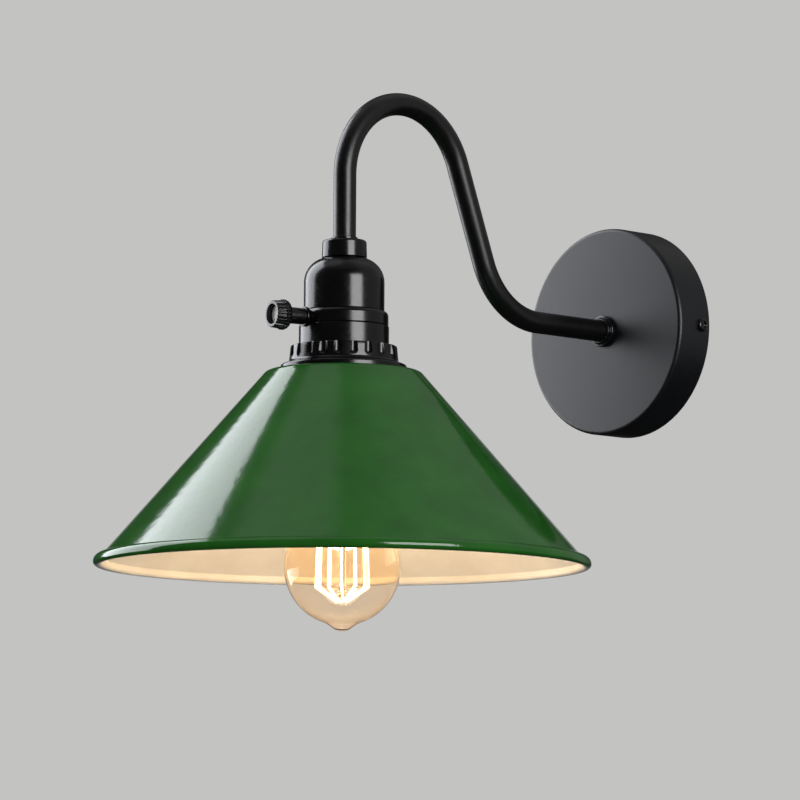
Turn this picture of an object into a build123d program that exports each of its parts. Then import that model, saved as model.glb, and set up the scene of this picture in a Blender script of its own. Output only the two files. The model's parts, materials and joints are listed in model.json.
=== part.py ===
from build123d import *
import math
import os

# Gooseneck wall sconce: a round canopy, a curved tube arm, a black socket with a turn switch,
# an enamelled steel dome shade and a long globe bulb. All sizes are in millimetres.
# Frame: the origin is the centre of the canopy's back rim, on the wall. -Y points out into the
# room, +Y into the wall, +Z up and X along the wall. The arm lies in the plane x = 0.

# ---- Canopy: the pressed steel cover that stands on the wall ------------------------------------
CANOPY_R = 57.5
CANOPY_DEPTH = 23.7
CANOPY_WALL = 1.2
CANOPY_EDGE_R = 2.2

# ---- Crossbar behind the canopy -----------------------------------------------------------------
BAR_WIDTH = 16.0
BAR_THICKNESS = 1.6
BAR_CORNER_R = 1.2
EAR_LENGTH = 12.0
EAR_GAP = 0.3
WALL_SLOT_SPACING = 79.4
WALL_SLOT_LENGTH = 16.0
WALL_SLOT_R = 2.3
BAR_WIRE_HOLE_R = 5.2

# ---- Screws -------------------------------------------------------------------------------------
SIDE_SCREW_R = 2.0
SIDE_SCREW_HEAD_R = 3.6
SIDE_SCREW_HEAD = 2.2
SIDE_SCREW_LENGTH = 8.0
SIDE_SCREW_FROM_WALL = 6.5
RECESS_WIDTH = 0.9
RECESS_LENGTH = 4.2
RECESS_DEPTH = 1.1
EARTH_SCREW_R = 2.0
EARTH_SCREW_HEAD_R = 3.4
EARTH_SCREW_HEAD = 2.2
EARTH_SCREW_X = 23.5
TERMINAL_SCREW_R = 1.4
TERMINAL_SCREW_HEAD_R = 2.4
TERMINAL_SCREW_HEAD = 1.7

# ---- Gooseneck arm ------------------------------------------------------------------------------
TUBE_R = 6.0
TUBE_WALL = 1.15
ARM_REACH = 52.7
ARM_RISE_BEND_R = 45.0
ARM_RISE_ANGLE = 68.6
ARM_RISE_LENGTH = 55.5
ARM_ARCH_R = 43.0
ARM_DROP = 33.2
ARM_SEAT = 8.0
COLLAR_BASE_R = 8.7
COLLAR_BASE = 2.6
COLLAR_STEP_R = 7.5
COLLAR_STEP = 2.2
COLLAR_CHAMFER = 0.7

# ---- Threaded nipples and their nuts ------------------------------------------------------------
NIPPLE_BORE_R = 3.4
NIPPLE_IN_TUBE = 10.0
NIPPLE_PAST_NUT = 2.0
NUT_ACROSS_FLATS = 14.0
NUT_THICKNESS = 3.2
WASHER_R = 8.2
WASHER_THICKNESS = 1.0
WASHER_TEETH = 12
WASHER_TOOTH_LEAN = 25.0
WASHER_NOTCH_LENGTH = 1.6
WASHER_NOTCH_WIDTH = 0.9

# ---- Neck collar and socket cap -----------------------------------------------------------------
NECK_LIP_R = 6.9
NECK_LIP = 1.7
NECK_TOP_R = 11.6
NECK_BOTTOM_R = 11.9
NECK_HEIGHT = 9.3
NECK_EDGE_R = 1.5
CAP_R = 21.2
CAP_HEIGHT = 28.4
CAP_DOME_R = 13.0
CAP_WALL = 1.5

# ---- Socket shell -------------------------------------------------------------------------------
SHELL_R = 23.7
SHELL_BAND_R = 23.35
SHELL_HEIGHT = 18.6
SHELL_WALL = 1.5
SHELL_SHOULDER_R = 2.7
SHELL_SPIGOT = 5.3
SHELL_SPIGOT_WALL = 1.2
GROOVE_DOWN = 7.9
GROOVE_WIDTH = 0.5
GROOVE_DEPTH = 0.35
SKIRT_R = 20.0
SKIRT_WALL = 1.5
SKIRT_LENGTH = 33.4

# ---- Shade rings: the upper one is fluted into teeth for the fingers and has a flange -----------
RING_TOP_R = 28.0
RING_FOOT_R = 28.7
RING_TEETH = 22
RING_TOOTH_HEIGHT = 7.2
RING_FLUTE_R = 2.6
RING_FLUTE_DEPTH = 0.9
RING_TOP_EDGE_R = 0.5
FLANGE_R = 33.2
FLANGE_THICKNESS = 5.9
FLANGE_COVE_DOWN = 1.1
FLANGE_COVE_R = 1.4
FLANGE_EDGE_DOWN = 2.9
FLANGE_EDGE_R = 1.3
LOWER_RING_R = 28.4
LOWER_RING_HEIGHT = 7.4
LOWER_RING_NOTCHES = 12
LOWER_RING_NOTCH_R = 2.2

# ---- Enamelled shade ----------------------------------------------------------------------------
SHADE_RIM_R = 130.0
SHADE_HEIGHT = 103.1
SHADE_WALL = 1.0
SHADE_SHOULDER_R = 40.5
SHADE_SHOULDER_BEND_R = 5.0
SHADE_CREASE_R = 122.8
SHADE_BEAD_HEIGHT = 8.5
SHADE_BEAD_R = 6.5
SHADE_HEM = 4.8
SHADE_HEM_EDGE_R = 2.0

# ---- Lampholder insert and contacts -------------------------------------------------------------
INSERT_FLANGE = 2.0
INSERT_BOTTOM_UP = 2.0
INSERT_FLOOR_DOWN = 25.0
LINER_WALL = 0.8
LINER_HEIGHT = 7.4
TERMINAL_SIZE = 6.0
TERMINAL_OUT = 10.0
TERMINAL_SUNK = 5.0
TERMINAL_HOLE_DEPTH = 4.5
POST_R = 1.0
LIVE_POST_OUT = 9.0
NEUTRAL_POST_OUT = 12.0
THREAD_SHELL_WALL = 0.5
THREAD_SHELL_HEIGHT = 24.0
THREAD_SHELL_EYE_R = 11.0
TONGUE_THICKNESS = 0.8
TONGUE_WIDTH = 3.0
TONGUE_PAD_R = 3.8
TONGUE_PAD = 1.5

# ---- Turn switch --------------------------------------------------------------------------------
KNOB_DOWN = 4.4
KNOB_TURN = 12.0
SHAFT_R = 2.0
ROTOR_R = 4.6
ROTOR_HALF_WIDTH = 2.9
ROTOR_START = 5.5
ROTOR_LENGTH = 7.0
ROTOR_GAP = 0.15
SWITCH_POCKET_R = 5.0
BUSHING_R = 4.3
BUSHING_INSIDE = 1.0
BUSHING_THREAD_R = 3.4
BUSHING_EDGE_R = 0.3
FERRULE_R = 5.3
FERRULE_HEIGHT = 1.5
STEM_LENGTH = 10.85
KNOB_GAP = 0.25
KNOB_LENGTH = 9.2
KNOB_BACK_R = 8.0
KNOB_FRONT_R = 6.8
KNOB_BACK_EDGE_R = 2.6
KNOB_BAND = 3.6
KNOB_GRIP_R = 7.45
KNOB_FRONT_EDGE_R = 0.5
KNOB_RECESS_R = 5.3
KNOB_RECESS_DEPTH = 3.0
KNOB_FLUTES = 24
KNOB_FLUTE_R = 0.6
KNOB_SHAFT_DEPTH = 4.5

# ---- Bulb: a long globe with a screw cap and a caged filament -----------------------------------
BULB_CAP_R = 13.1
BULB_CAP_HEIGHT = 24.0
BULB_CAP_WALL = 0.4
BULB_CAP_SHOULDER_R = 1.5
BULB_EYE_R = 11.8
BULB_INSULATOR = 3.2
BULB_INSULATOR_TOP_R = 5.2
BULB_CONTACT_R = 4.4
BULB_CONTACT = 0.8
BULB_CONTACT_DOME_R = 0.5
BULB_LENGTH = 141.3
BULB_GLOBE_R = 30.5
BULB_GLASS_WALL = 0.9
BULB_NECK_IN_CAP = 12.0
BULB_NECK_OUT_OF_CAP = 4.0
BULB_TIP_R = 5.6
BULB_TIP = 2.9
BULB_TIP_EDGE_R = 2.4
STEM_ROD_R = 1.8
STEM_FLARE_R = 8.0
STEM_FLARE_HEIGHT = 16.0
STEM_ROD_END_UP = 18.0
CAGE_R = 13.8
CAGE_TOP_R = 11.4
CAGE_TIP_R = 4.0
CAGE_TOP_DOWN = 26.0
CAGE_BEND_UP = 22.9
CAGE_TIP_UP = 13.9
CAGE_HAIRPINS = 6
FILAMENT_R = 0.4
SUPPORT_R = 0.25
SUPPORT_HUB = 1.6
SUPPORT_HUB_WALL = 0.6
LEAD_IN_R = 0.4
LEAD_IN_OUT = 5.0

# ---- Wiring -------------------------------------------------------------------------------------
WIRE_R = 1.1
WIRE_OFFSET = 1.7
WIRE_BEND_R = 4.0
WIRE_IN_CANOPY_Y = 8.0
WIRE_TAIL = 20.0
WIRE_SPREAD_R = 5.0
WIRE_SPREAD_ANGLE = 60.0
WIRE_END_LIFT = 1.0
CONNECTOR_R = 5.4
CONNECTOR_TIP_R = 3.2
CONNECTOR_TIP_EDGE_R = 1.2
CONNECTOR_LENGTH = 21.0
CONNECTOR_MOUTH = 10.0
CONNECTOR_SOCKET = 12.0
EARTH_WIRE_R = 0.9
EARTH_BEND_R = 3.0
LUG_THICKNESS = 0.8
LUG_RIM = 2.0

# ---- Clearances ---------------------------------------------------------------------------------
THREAD_GAP = 0.05
SLIDE_GAP = 0.15
RUNNING_GAP = 0.04
BULB_THREAD_GAP = 0.2
HOLE_GAP = 0.2
CUT_PAST = 1.0

# ---- Places worked out from the sizes above -----------------------------------------------------
NIPPLE_R = TUBE_R - TUBE_WALL - THREAD_GAP
RISE = math.radians(ARM_RISE_ANGLE)
ARCH_OUT = (CANOPY_DEPTH + ARM_REACH + ARM_RISE_BEND_R * math.sin(RISE)
            + ARM_RISE_LENGTH * math.cos(RISE) + ARM_ARCH_R * math.sin(RISE))
ARCH_Z = (ARM_RISE_BEND_R * (1 - math.cos(RISE)) + ARM_RISE_LENGTH * math.sin(RISE)
          - ARM_ARCH_R * math.cos(RISE))
HEAD_Y = -(ARCH_OUT + ARM_ARCH_R)
NECK_TOP = ARCH_Z - ARM_DROP
CAP_TOP = NECK_TOP - NECK_LIP - NECK_HEIGHT
SHELL_TOP = CAP_TOP - CAP_HEIGHT
SHELL_BOTTOM = SHELL_TOP - SHELL_HEIGHT
SKIRT_BOTTOM = SHELL_BOTTOM - SKIRT_LENGTH
SHELL_BORE_R = SHELL_R - SHELL_WALL
SKIRT_BORE_R = SKIRT_R - SKIRT_WALL
CAP_BORE_R = CAP_R - CAP_WALL
SPIGOT_R = CAP_BORE_R - THREAD_GAP
SPIGOT_BORE_R = SPIGOT_R - SHELL_SPIGOT_WALL
SPIGOT_TOP = SHELL_TOP + SHELL_SPIGOT
RING_TOP = SHELL_BOTTOM
FLANGE_TOP = RING_TOP - RING_TOOTH_HEIGHT
SHADE_TOP = FLANGE_TOP - FLANGE_THICKNESS
SHADE_BOTTOM = SHADE_TOP - SHADE_HEIGHT
INSERT_R = min(SPIGOT_BORE_R, SKIRT_BORE_R) - SLIDE_GAP
INSERT_TOP = SPIGOT_TOP + INSERT_FLANGE
INSERT_BOTTOM = SKIRT_BOTTOM + INSERT_BOTTOM_UP
INSERT_FLOOR = SHELL_TOP - INSERT_FLOOR_DOWN
TERMINAL_FLOOR = INSERT_TOP - TERMINAL_SUNK
THREAD_SHELL_R = BULB_CAP_R + BULB_THREAD_GAP + THREAD_SHELL_WALL
KNOB_Z = SHELL_TOP - KNOB_DOWN
TONGUE_BOTTOM = INSERT_FLOOR - TONGUE_PAD
BULB_TOP = TONGUE_BOTTOM - SLIDE_GAP
BULB_BOTTOM = BULB_TOP - BULB_LENGTH
GLOBE_Z = BULB_BOTTOM + BULB_TIP + BULB_GLOBE_R
BULB_CAP_TOP = BULB_TOP - BULB_CONTACT - BULB_INSULATOR
BULB_CAP_BOTTOM = BULB_CAP_TOP - BULB_CAP_HEIGHT
LUG_HOLE_R = EARTH_SCREW_R + HOLE_GAP


# ---- Helpers ------------------------------------------------------------------------------------
def outline(*corners):
    """Closed face from corners (x, y) or (x, y, radius); a radius rounds its corner."""
    arcs = []
    for index, corner in enumerate(corners):
        here = Vector(corner[0], corner[1])
        radius = corner[2] if len(corner) > 2 else 0
        if radius <= 0:
            arcs.append((here, None, here))
            continue
        before = Vector(*corners[index - 1][:2])
        after = Vector(*corners[(index + 1) % len(corners)][:2])
        back = (before - here).normalized()
        ahead = (after - here).normalized()
        half = math.radians(back.get_angle(ahead)) / 2
        reach = radius / math.tan(half)
        middle = here + (back + ahead).normalized() * (radius / math.sin(half) - radius)
        arcs.append((here + back * reach, middle, here + ahead * reach))
    edges = []
    for index, (start, middle, end) in enumerate(arcs):
        if middle is not None:
            edges.append(ThreePointArc(start, middle, end))
        following = arcs[(index + 1) % len(arcs)][0]
        if (following - end).length > 1e-6:
            edges.append(Line(end, following))
    return make_face(edges)


def turned(*corners):
    """Solid turned about Z from an outline of (radius, height) corners."""
    return revolve(Plane.XZ * outline(*corners), Axis.Z)


def turned_on_wall_axis(*corners):
    """Solid turned about Y, the canopy's axis, from (radius, y) corners."""
    return revolve(outline(*corners), Axis.Y)


def on_head(shape):
    """Move a shape that was made about Z to the head's axis."""
    return Pos(0, HEAD_Y, 0) * shape


def on_knob_axis(shape):
    """Lay a shape made along +Z on the switch's axis, with its height measured from the head's axis."""
    return Pos(0, HEAD_Y, KNOB_Z) * Rot(0, 0, -KNOB_TURN) * Rot(90, 0, 0) * shape


def rod(radius, start, end):
    """Round bar between two points."""
    axis = Vector(*end) - Vector(*start)
    return extrude(Plane(origin=start, z_dir=axis) * Circle(radius), axis.length)


def ring_array(count, shape):
    """Copies of a shape, spread evenly about Z."""
    return [Rot(0, 0, 360 * step / count) * shape for step in range(count)]


def route(x, y, z, heading, moves):
    """Wire of straight runs and tangent bends in the plane of one x.

    The heading is 0 out from the wall and 90 up. A move is (length,) or (bend radius, angle).
    """
    edges = []
    angle = math.radians(heading)
    for move in moves:
        if len(move) == 1:
            next_y = y - move[0] * math.cos(angle)
            next_z = z + move[0] * math.sin(angle)
            edges.append(Line((x, y, z), (x, next_y, next_z)))
            y, z = next_y, next_z
            continue
        side = math.copysign(move[0], move[1])
        centre_y = y + side * math.sin(angle)
        centre_z = z + side * math.cos(angle)
        bend = math.radians(move[1])
        points = [(x, y, z)]
        for turn in (angle + bend / 2, angle + bend):
            points.append((x, centre_y - side * math.sin(turn), centre_z - side * math.cos(turn)))
        edges.append(ThreePointArc(*points))
        angle += bend
        y, z = points[2][1:]
    return Wire(edges)


def swept(section, path):
    """Sweep a section, drawn about the origin, along a path."""
    return sweep(Plane(origin=path @ 0, z_dir=path % 0) * section, path=path)


def cross_recess():
    """Cross of two slots, sunk below z = 0."""
    depth = 2 * RECESS_DEPTH
    return Box(RECESS_LENGTH, RECESS_WIDTH, depth) + Box(RECESS_WIDTH, RECESS_LENGTH, depth)


def pan_screw(radius, length, head_r, head):
    """Pan head screw: the head stands above z = 0, the shank goes down to -length."""
    shank = turned((0, -length), (radius, -length), (radius, 0), (0, 0))
    cap = turned((0, 0), (head_r, 0), (head_r, head, head * 0.55), (0, head))
    return cap + shank - Pos(0, 0, head) * cross_recess()


def hex_nut(bore_r):
    """Hexagonal nut standing on z = 0."""
    hexagon = RegularPolygon(NUT_ACROSS_FLATS / 2, 6, major_radius=False)
    return extrude(hexagon - Circle(bore_r), NUT_THICKNESS)


# ---- Wall side ----------------------------------------------------------------------------------
def canopy():
    inside = CANOPY_R - CANOPY_WALL
    shell = turned_on_wall_axis(
        (NIPPLE_R + HOLE_GAP, -CANOPY_DEPTH),
        (CANOPY_R, -CANOPY_DEPTH, CANOPY_EDGE_R),
        (CANOPY_R, 0),
        (inside, 0),
        (inside, -CANOPY_DEPTH + CANOPY_WALL, CANOPY_EDGE_R - CANOPY_WALL),
        (NIPPLE_R + HOLE_GAP, -CANOPY_DEPTH + CANOPY_WALL),
    )
    side_hole = Pos(0, -SIDE_SCREW_FROM_WALL, 0) * Rot(0, 90, 0)
    return shell - side_hole * Cylinder(SIDE_SCREW_R + HOLE_GAP, 3 * CANOPY_R)


def ear_face_x():
    """Outer face of the crossbar's ears, just inside the canopy's wall."""
    inside = CANOPY_R - CANOPY_WALL
    return math.sqrt(inside ** 2 - (BAR_WIDTH / 2) ** 2) - EAR_GAP


def wall_bracket():
    reach = ear_face_x()
    inner = reach - BAR_THICKNESS
    section = outline(
        (-reach, -EAR_LENGTH),
        (-inner, -EAR_LENGTH),
        (-inner, -BAR_THICKNESS, BAR_CORNER_R),
        (inner, -BAR_THICKNESS, BAR_CORNER_R),
        (inner, -EAR_LENGTH),
        (reach, -EAR_LENGTH),
        (reach, 0, BAR_CORNER_R + BAR_THICKNESS),
        (-reach, 0, BAR_CORNER_R + BAR_THICKNESS),
    )
    bar = extrude(section, BAR_WIDTH / 2, both=True)
    through = Rot(90, 0, 0)
    slot = extrude(SlotOverall(WALL_SLOT_LENGTH, 2 * WALL_SLOT_R), BAR_WIDTH, both=True)
    for side in (-1, 1):
        bar -= Pos(side * WALL_SLOT_SPACING / 2, 0, 0) * through * slot
    bar -= through * Cylinder(BAR_WIRE_HOLE_R, BAR_WIDTH)
    bar -= Pos(EARTH_SCREW_X, 0, 0) * through * Cylinder(EARTH_SCREW_R + THREAD_GAP, BAR_WIDTH)
    side_holes = Pos(0, -SIDE_SCREW_FROM_WALL, 0) * Rot(0, 90, 0)
    return bar - side_holes * Cylinder(SIDE_SCREW_R + THREAD_GAP, 2 * CANOPY_R)


def canopy_side_screws():
    screw = pan_screw(SIDE_SCREW_R, SIDE_SCREW_LENGTH, SIDE_SCREW_HEAD_R, SIDE_SCREW_HEAD)
    screws = []
    for side in (-1, 1):
        place = Pos(side * CANOPY_R, -SIDE_SCREW_FROM_WALL, 0) * Rot(0, side * 90, 0)
        screws.append(place * screw)
    return Compound(children=screws)


def bracket_earth_screw():
    seat = BAR_THICKNESS + LUG_THICKNESS
    screw = pan_screw(EARTH_SCREW_R, seat, EARTH_SCREW_HEAD_R, EARTH_SCREW_HEAD)
    return Pos(EARTH_SCREW_X, -seat, 0) * Rot(90, 0, 0) * screw


def arm_collar():
    front = -CANOPY_DEPTH - COLLAR_BASE - COLLAR_STEP
    bore = TUBE_R + THREAD_GAP
    return turned_on_wall_axis(
        (bore, -CANOPY_DEPTH),
        (COLLAR_BASE_R, -CANOPY_DEPTH),
        (COLLAR_BASE_R, -CANOPY_DEPTH - COLLAR_BASE, COLLAR_CHAMFER),
        (COLLAR_STEP_R, -CANOPY_DEPTH - COLLAR_BASE),
        (COLLAR_STEP_R, front + COLLAR_CHAMFER),
        (COLLAR_STEP_R - COLLAR_CHAMFER, front),
        (bore, front),
    )


def canopy_stack():
    """Y of each face inside the canopy: lug, washer, nut and the nipple's end."""
    lug = -CANOPY_DEPTH + CANOPY_WALL
    washer = lug + LUG_THICKNESS
    nut = washer + WASHER_THICKNESS
    end = nut + NUT_THICKNESS + NIPPLE_PAST_NUT
    return lug, washer, nut, end


def arm_nipple():
    start = -CANOPY_DEPTH - NIPPLE_IN_TUBE
    end = canopy_stack()[3]
    return turned_on_wall_axis(
        (NIPPLE_BORE_R, start), (NIPPLE_R, start), (NIPPLE_R, end), (NIPPLE_BORE_R, end)
    )


def arm_lock_washer():
    place = canopy_stack()[1]
    bore = NIPPLE_R + HOLE_GAP
    disc = extrude(Circle(WASHER_R) - Circle(bore), WASHER_THICKNESS)
    notch = Pos(WASHER_R, 0, 0) * Rot(0, 0, WASHER_TOOTH_LEAN) * Box(
        WASHER_NOTCH_LENGTH, WASHER_NOTCH_WIDTH, 4 * WASHER_THICKNESS
    )
    for cut in ring_array(WASHER_TEETH, notch):
        disc -= cut
    return Pos(0, place, 0) * Rot(-90, 0, 0) * disc


def arm_lock_nut():
    return Pos(0, canopy_stack()[2], 0) * Rot(-90, 0, 0) * hex_nut(NIPPLE_R + THREAD_GAP)


def lug(hole_r, tail):
    """Ring terminal lying on z = 0, with a tail along +X under its wire."""
    tongue = Pos(tail / 2, 0) * Rectangle(tail, 2 * EARTH_WIRE_R)
    return extrude(Circle(hole_r + LUG_RIM) + tongue - Circle(hole_r), LUG_THICKNESS)


def earth_lead():
    """Bare copper lead with a lug at each end, from the arm's nut to the earth screw."""
    lug_y = canopy_stack()[0]
    sunk = LUG_THICKNESS / 4
    upper = lug_y + LUG_THICKNESS + EARTH_WIRE_R - sunk
    lower = -BAR_THICKNESS - LUG_THICKNESS - EARTH_WIRE_R + sunk
    start_x = WASHER_R + LUG_RIM / 4
    end_x = EARTH_SCREW_X - EARTH_SCREW_HEAD_R - LUG_RIM / 4
    fall_x = start_x + EARTH_BEND_R + EARTH_WIRE_R
    path = Polyline((start_x, upper), (fall_x, upper), (fall_x, lower), (end_x, lower))
    path = fillet(path.vertices()[1:3], EARTH_BEND_R)
    wire = swept(Circle(EARTH_WIRE_R), path.wire())
    nut_lug = Rot(-90, 0, 0) * lug(NIPPLE_R + HOLE_GAP, start_x + LUG_RIM)
    screw_lug = Rot(90, 0, 0) * Rot(0, 0, 180) * lug(LUG_HOLE_R, EARTH_SCREW_X - end_x + LUG_RIM)
    return wire + Pos(0, lug_y, 0) * nut_lug + Pos(EARTH_SCREW_X, -BAR_THICKNESS, 0) * screw_lug


# ---- Arm and wiring -----------------------------------------------------------------------------
ARM_MOVES = [
    (ARM_RISE_BEND_R, ARM_RISE_ANGLE),
    (ARM_RISE_LENGTH,),
    (ARM_ARCH_R, -ARM_RISE_ANGLE - 90),
]


def gooseneck_arm():
    moves = [(ARM_REACH,)] + ARM_MOVES + [(ARM_DROP + ARM_SEAT,)]
    path = route(0, -CANOPY_DEPTH, 0, 0, moves)
    return swept(Circle(TUBE_R) - Circle(TUBE_R - TUBE_WALL), path)


def lead_wire(side):
    """Insulated wire through the arm; side -1 is live, ending in front, and +1 is neutral."""
    spread = math.radians(WIRE_SPREAD_ANGLE)
    slant = (TERMINAL_OUT - 2 * WIRE_SPREAD_R * (1 - math.cos(spread))) / math.sin(spread)
    fall = 2 * WIRE_SPREAD_R * math.sin(spread) + slant * math.cos(spread)
    block_top = TERMINAL_FLOOR + TERMINAL_SIZE
    spread_z = block_top + WIRE_END_LIFT + fall
    moves = [
        (WIRE_TAIL,),
        (WIRE_BEND_R, -side * 90),
        (CANOPY_DEPTH + ARM_REACH - WIRE_IN_CANOPY_Y - WIRE_BEND_R,),
        *ARM_MOVES,
        (ARCH_Z - spread_z,),
        (WIRE_SPREAD_R, -side * WIRE_SPREAD_ANGLE),
        (slant,),
        (WIRE_SPREAD_R, side * WIRE_SPREAD_ANGLE),
        (WIRE_END_LIFT + TERMINAL_HOLE_DEPTH - SLIDE_GAP,),
    ]
    start_z = -side * (WIRE_BEND_R + WIRE_TAIL)
    path = route(side * WIRE_OFFSET, -WIRE_IN_CANOPY_Y, start_z, side * 90, moves)
    return swept(Circle(WIRE_R), path)


def wire_connectors():
    """Two tapered twist-on caps inside the canopy, one above and one below the arm."""
    connector = turned(
        (0, CONNECTOR_SOCKET),
        (WIRE_R + SLIDE_GAP, CONNECTOR_SOCKET),
        (WIRE_R + SLIDE_GAP, 0),
        (CONNECTOR_R, 0),
        (CONNECTOR_R, CONNECTOR_LENGTH * 0.35),
        (CONNECTOR_TIP_R, CONNECTOR_LENGTH, CONNECTOR_TIP_EDGE_R),
        (0, CONNECTOR_LENGTH),
    )
    pair = []
    for side in (-1, 1):
        start_z = -side * (WIRE_BEND_R + CONNECTOR_MOUTH)
        turn = Rot(0, 0, 0) if side < 0 else Rot(180, 0, 0)
        pair.append(Pos(side * WIRE_OFFSET, -WIRE_IN_CANOPY_Y, start_z) * turn * connector)
    return Compound(children=pair)


# ---- Head: neck, cap and shell ------------------------------------------------------------------
def neck_collar():
    seat = NECK_TOP - ARM_SEAT
    top = NECK_TOP - NECK_LIP
    return on_head(turned(
        (TUBE_R + THREAD_GAP, NECK_TOP),
        (NECK_LIP_R, NECK_TOP, 0.4),
        (NECK_LIP_R, top),
        (NECK_TOP_R, top, NECK_EDGE_R),
        (NECK_BOTTOM_R, CAP_TOP),
        (NIPPLE_R + THREAD_GAP, CAP_TOP),
        (NIPPLE_R + THREAD_GAP, seat),
        (TUBE_R + THREAD_GAP, seat),
    ))


def head_nipple():
    start = NECK_TOP - ARM_SEAT + NIPPLE_IN_TUBE
    end = CAP_TOP - CAP_WALL - NUT_THICKNESS - NIPPLE_PAST_NUT / 2
    return on_head(turned(
        (NIPPLE_BORE_R, end), (NIPPLE_R, end), (NIPPLE_R, start), (NIPPLE_BORE_R, start)
    ))


def socket_cap():
    hole = NIPPLE_R + THREAD_GAP
    return on_head(turned(
        (hole, CAP_TOP),
        (CAP_R, CAP_TOP, CAP_DOME_R),
        (CAP_R, SHELL_TOP),
        (CAP_BORE_R, SHELL_TOP),
        (CAP_BORE_R, CAP_TOP - CAP_WALL, CAP_DOME_R - CAP_WALL),
        (hole, CAP_TOP - CAP_WALL),
    ))


def cap_lock_nut():
    return on_head(Pos(0, 0, CAP_TOP - CAP_WALL - NUT_THICKNESS) * hex_nut(NIPPLE_R + THREAD_GAP))


def cap_liner():
    outer = CAP_BORE_R - SLIDE_GAP
    inner = outer - LINER_WALL
    top = INSERT_TOP + LINER_HEIGHT
    return on_head(turned((inner, INSERT_TOP), (outer, INSERT_TOP), (outer, top), (inner, top)))


def socket_shell():
    groove_top = SHELL_TOP - GROOVE_DOWN + GROOVE_WIDTH / 2
    groove_bottom = groove_top - GROOVE_WIDTH
    body = turned(
        (SPIGOT_BORE_R, SPIGOT_TOP),
        (SPIGOT_R, SPIGOT_TOP),
        (SPIGOT_R, SHELL_TOP),
        (SHELL_BAND_R, SHELL_TOP, SHELL_SHOULDER_R),
        (SHELL_BAND_R, groove_top),
        (SHELL_BAND_R - GROOVE_DEPTH, groove_top),
        (SHELL_BAND_R - GROOVE_DEPTH, groove_bottom),
        (SHELL_R, groove_bottom),
        (SHELL_R, SHELL_BOTTOM, 0.6),
        (SKIRT_R, SHELL_BOTTOM),
        (SKIRT_R, SKIRT_BOTTOM),
        (SKIRT_BORE_R, SKIRT_BOTTOM),
        (SKIRT_BORE_R, SHELL_BOTTOM + SHELL_WALL),
        (SHELL_BORE_R, SHELL_BOTTOM + SHELL_WALL),
        (SHELL_BORE_R, SHELL_TOP - SHELL_WALL, SHELL_SHOULDER_R - SHELL_WALL),
        (SPIGOT_BORE_R, SHELL_TOP - SHELL_WALL),
    )
    window = Cylinder(
        BUSHING_THREAD_R + THREAD_GAP, SHELL_R, align=(Align.CENTER, Align.CENTER, Align.MIN)
    )
    return on_head(body) - on_knob_axis(Pos(0, 0, bushing_start() - HOLE_GAP) * window)


# ---- Shade and its rings ------------------------------------------------------------------------
def shade_ring_upper():
    """Threaded ring with a fluted grip and a flange that backs the shade."""
    body = turned(
        (SKIRT_R + THREAD_GAP, RING_TOP),
        (RING_TOP_R, RING_TOP, RING_TOP_EDGE_R),
        (RING_FOOT_R, FLANGE_TOP - FLANGE_COVE_DOWN, FLANGE_COVE_R),
        (FLANGE_R, FLANGE_TOP - FLANGE_EDGE_DOWN, FLANGE_EDGE_R),
        (FLANGE_R, SHADE_TOP, 0.6),
        (SKIRT_R + THREAD_GAP, SHADE_TOP),
    )
    reach = RING_TOP_R + RING_FLUTE_R - RING_FLUTE_DEPTH
    end_height = math.sqrt(RING_FLUTE_R ** 2 - (reach - RING_FOOT_R) ** 2)
    flute = Sphere(RING_FLUTE_R) + Cylinder(
        RING_FLUTE_R, RING_TOOTH_HEIGHT, align=(Align.CENTER, Align.CENTER, Align.MIN)
    )
    flute = Pos(reach, 0, FLANGE_TOP + end_height) * flute
    return on_head(body - ring_array(RING_TEETH, flute))


def shade_ring_lower():
    """Threaded ring that clamps the shade from inside, with finger notches."""
    top = SHADE_TOP - SHADE_WALL
    bottom = top - LOWER_RING_HEIGHT
    body = turned(
        (SKIRT_R + THREAD_GAP, top),
        (LOWER_RING_R, top),
        (LOWER_RING_R, bottom, 1.5),
        (SKIRT_R + THREAD_GAP, bottom),
    )
    notch = Pos(LOWER_RING_R + LOWER_RING_NOTCH_R / 2, 0, bottom) * Cylinder(
        LOWER_RING_NOTCH_R, 1.6 * LOWER_RING_HEIGHT
    )
    return on_head(body - ring_array(LOWER_RING_NOTCHES, notch))


def lamp_shade():
    """Spun steel shade: flat crown, straight cone and a rolled rim."""
    crease_z = SHADE_BOTTOM + SHADE_BEAD_HEIGHT
    slope = (SHADE_CREASE_R - SHADE_SHOULDER_R) / (SHADE_TOP - crease_z)
    inner_step = SHADE_WALL * math.sqrt(1 + slope ** 2)
    under_crown = SHADE_TOP - SHADE_WALL
    inner_shoulder_r = SHADE_SHOULDER_R + slope * SHADE_WALL - inner_step
    hem_r = SHADE_RIM_R - SHADE_HEM
    hem_top = under_crown - (hem_r - inner_shoulder_r) / slope
    hole = SKIRT_R + HOLE_GAP
    return on_head(turned(
        (hole, SHADE_TOP),
        (SHADE_SHOULDER_R, SHADE_TOP, SHADE_SHOULDER_BEND_R),
        (SHADE_CREASE_R, crease_z),
        (SHADE_RIM_R, crease_z, SHADE_BEAD_R),
        (SHADE_RIM_R, SHADE_BOTTOM, SHADE_HEM_EDGE_R),
        (hem_r, SHADE_BOTTOM, SHADE_HEM_EDGE_R),
        (hem_r, hem_top),
        (inner_shoulder_r, under_crown, SHADE_SHOULDER_BEND_R - SHADE_WALL),
        (hole, under_crown),
    ))


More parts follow.
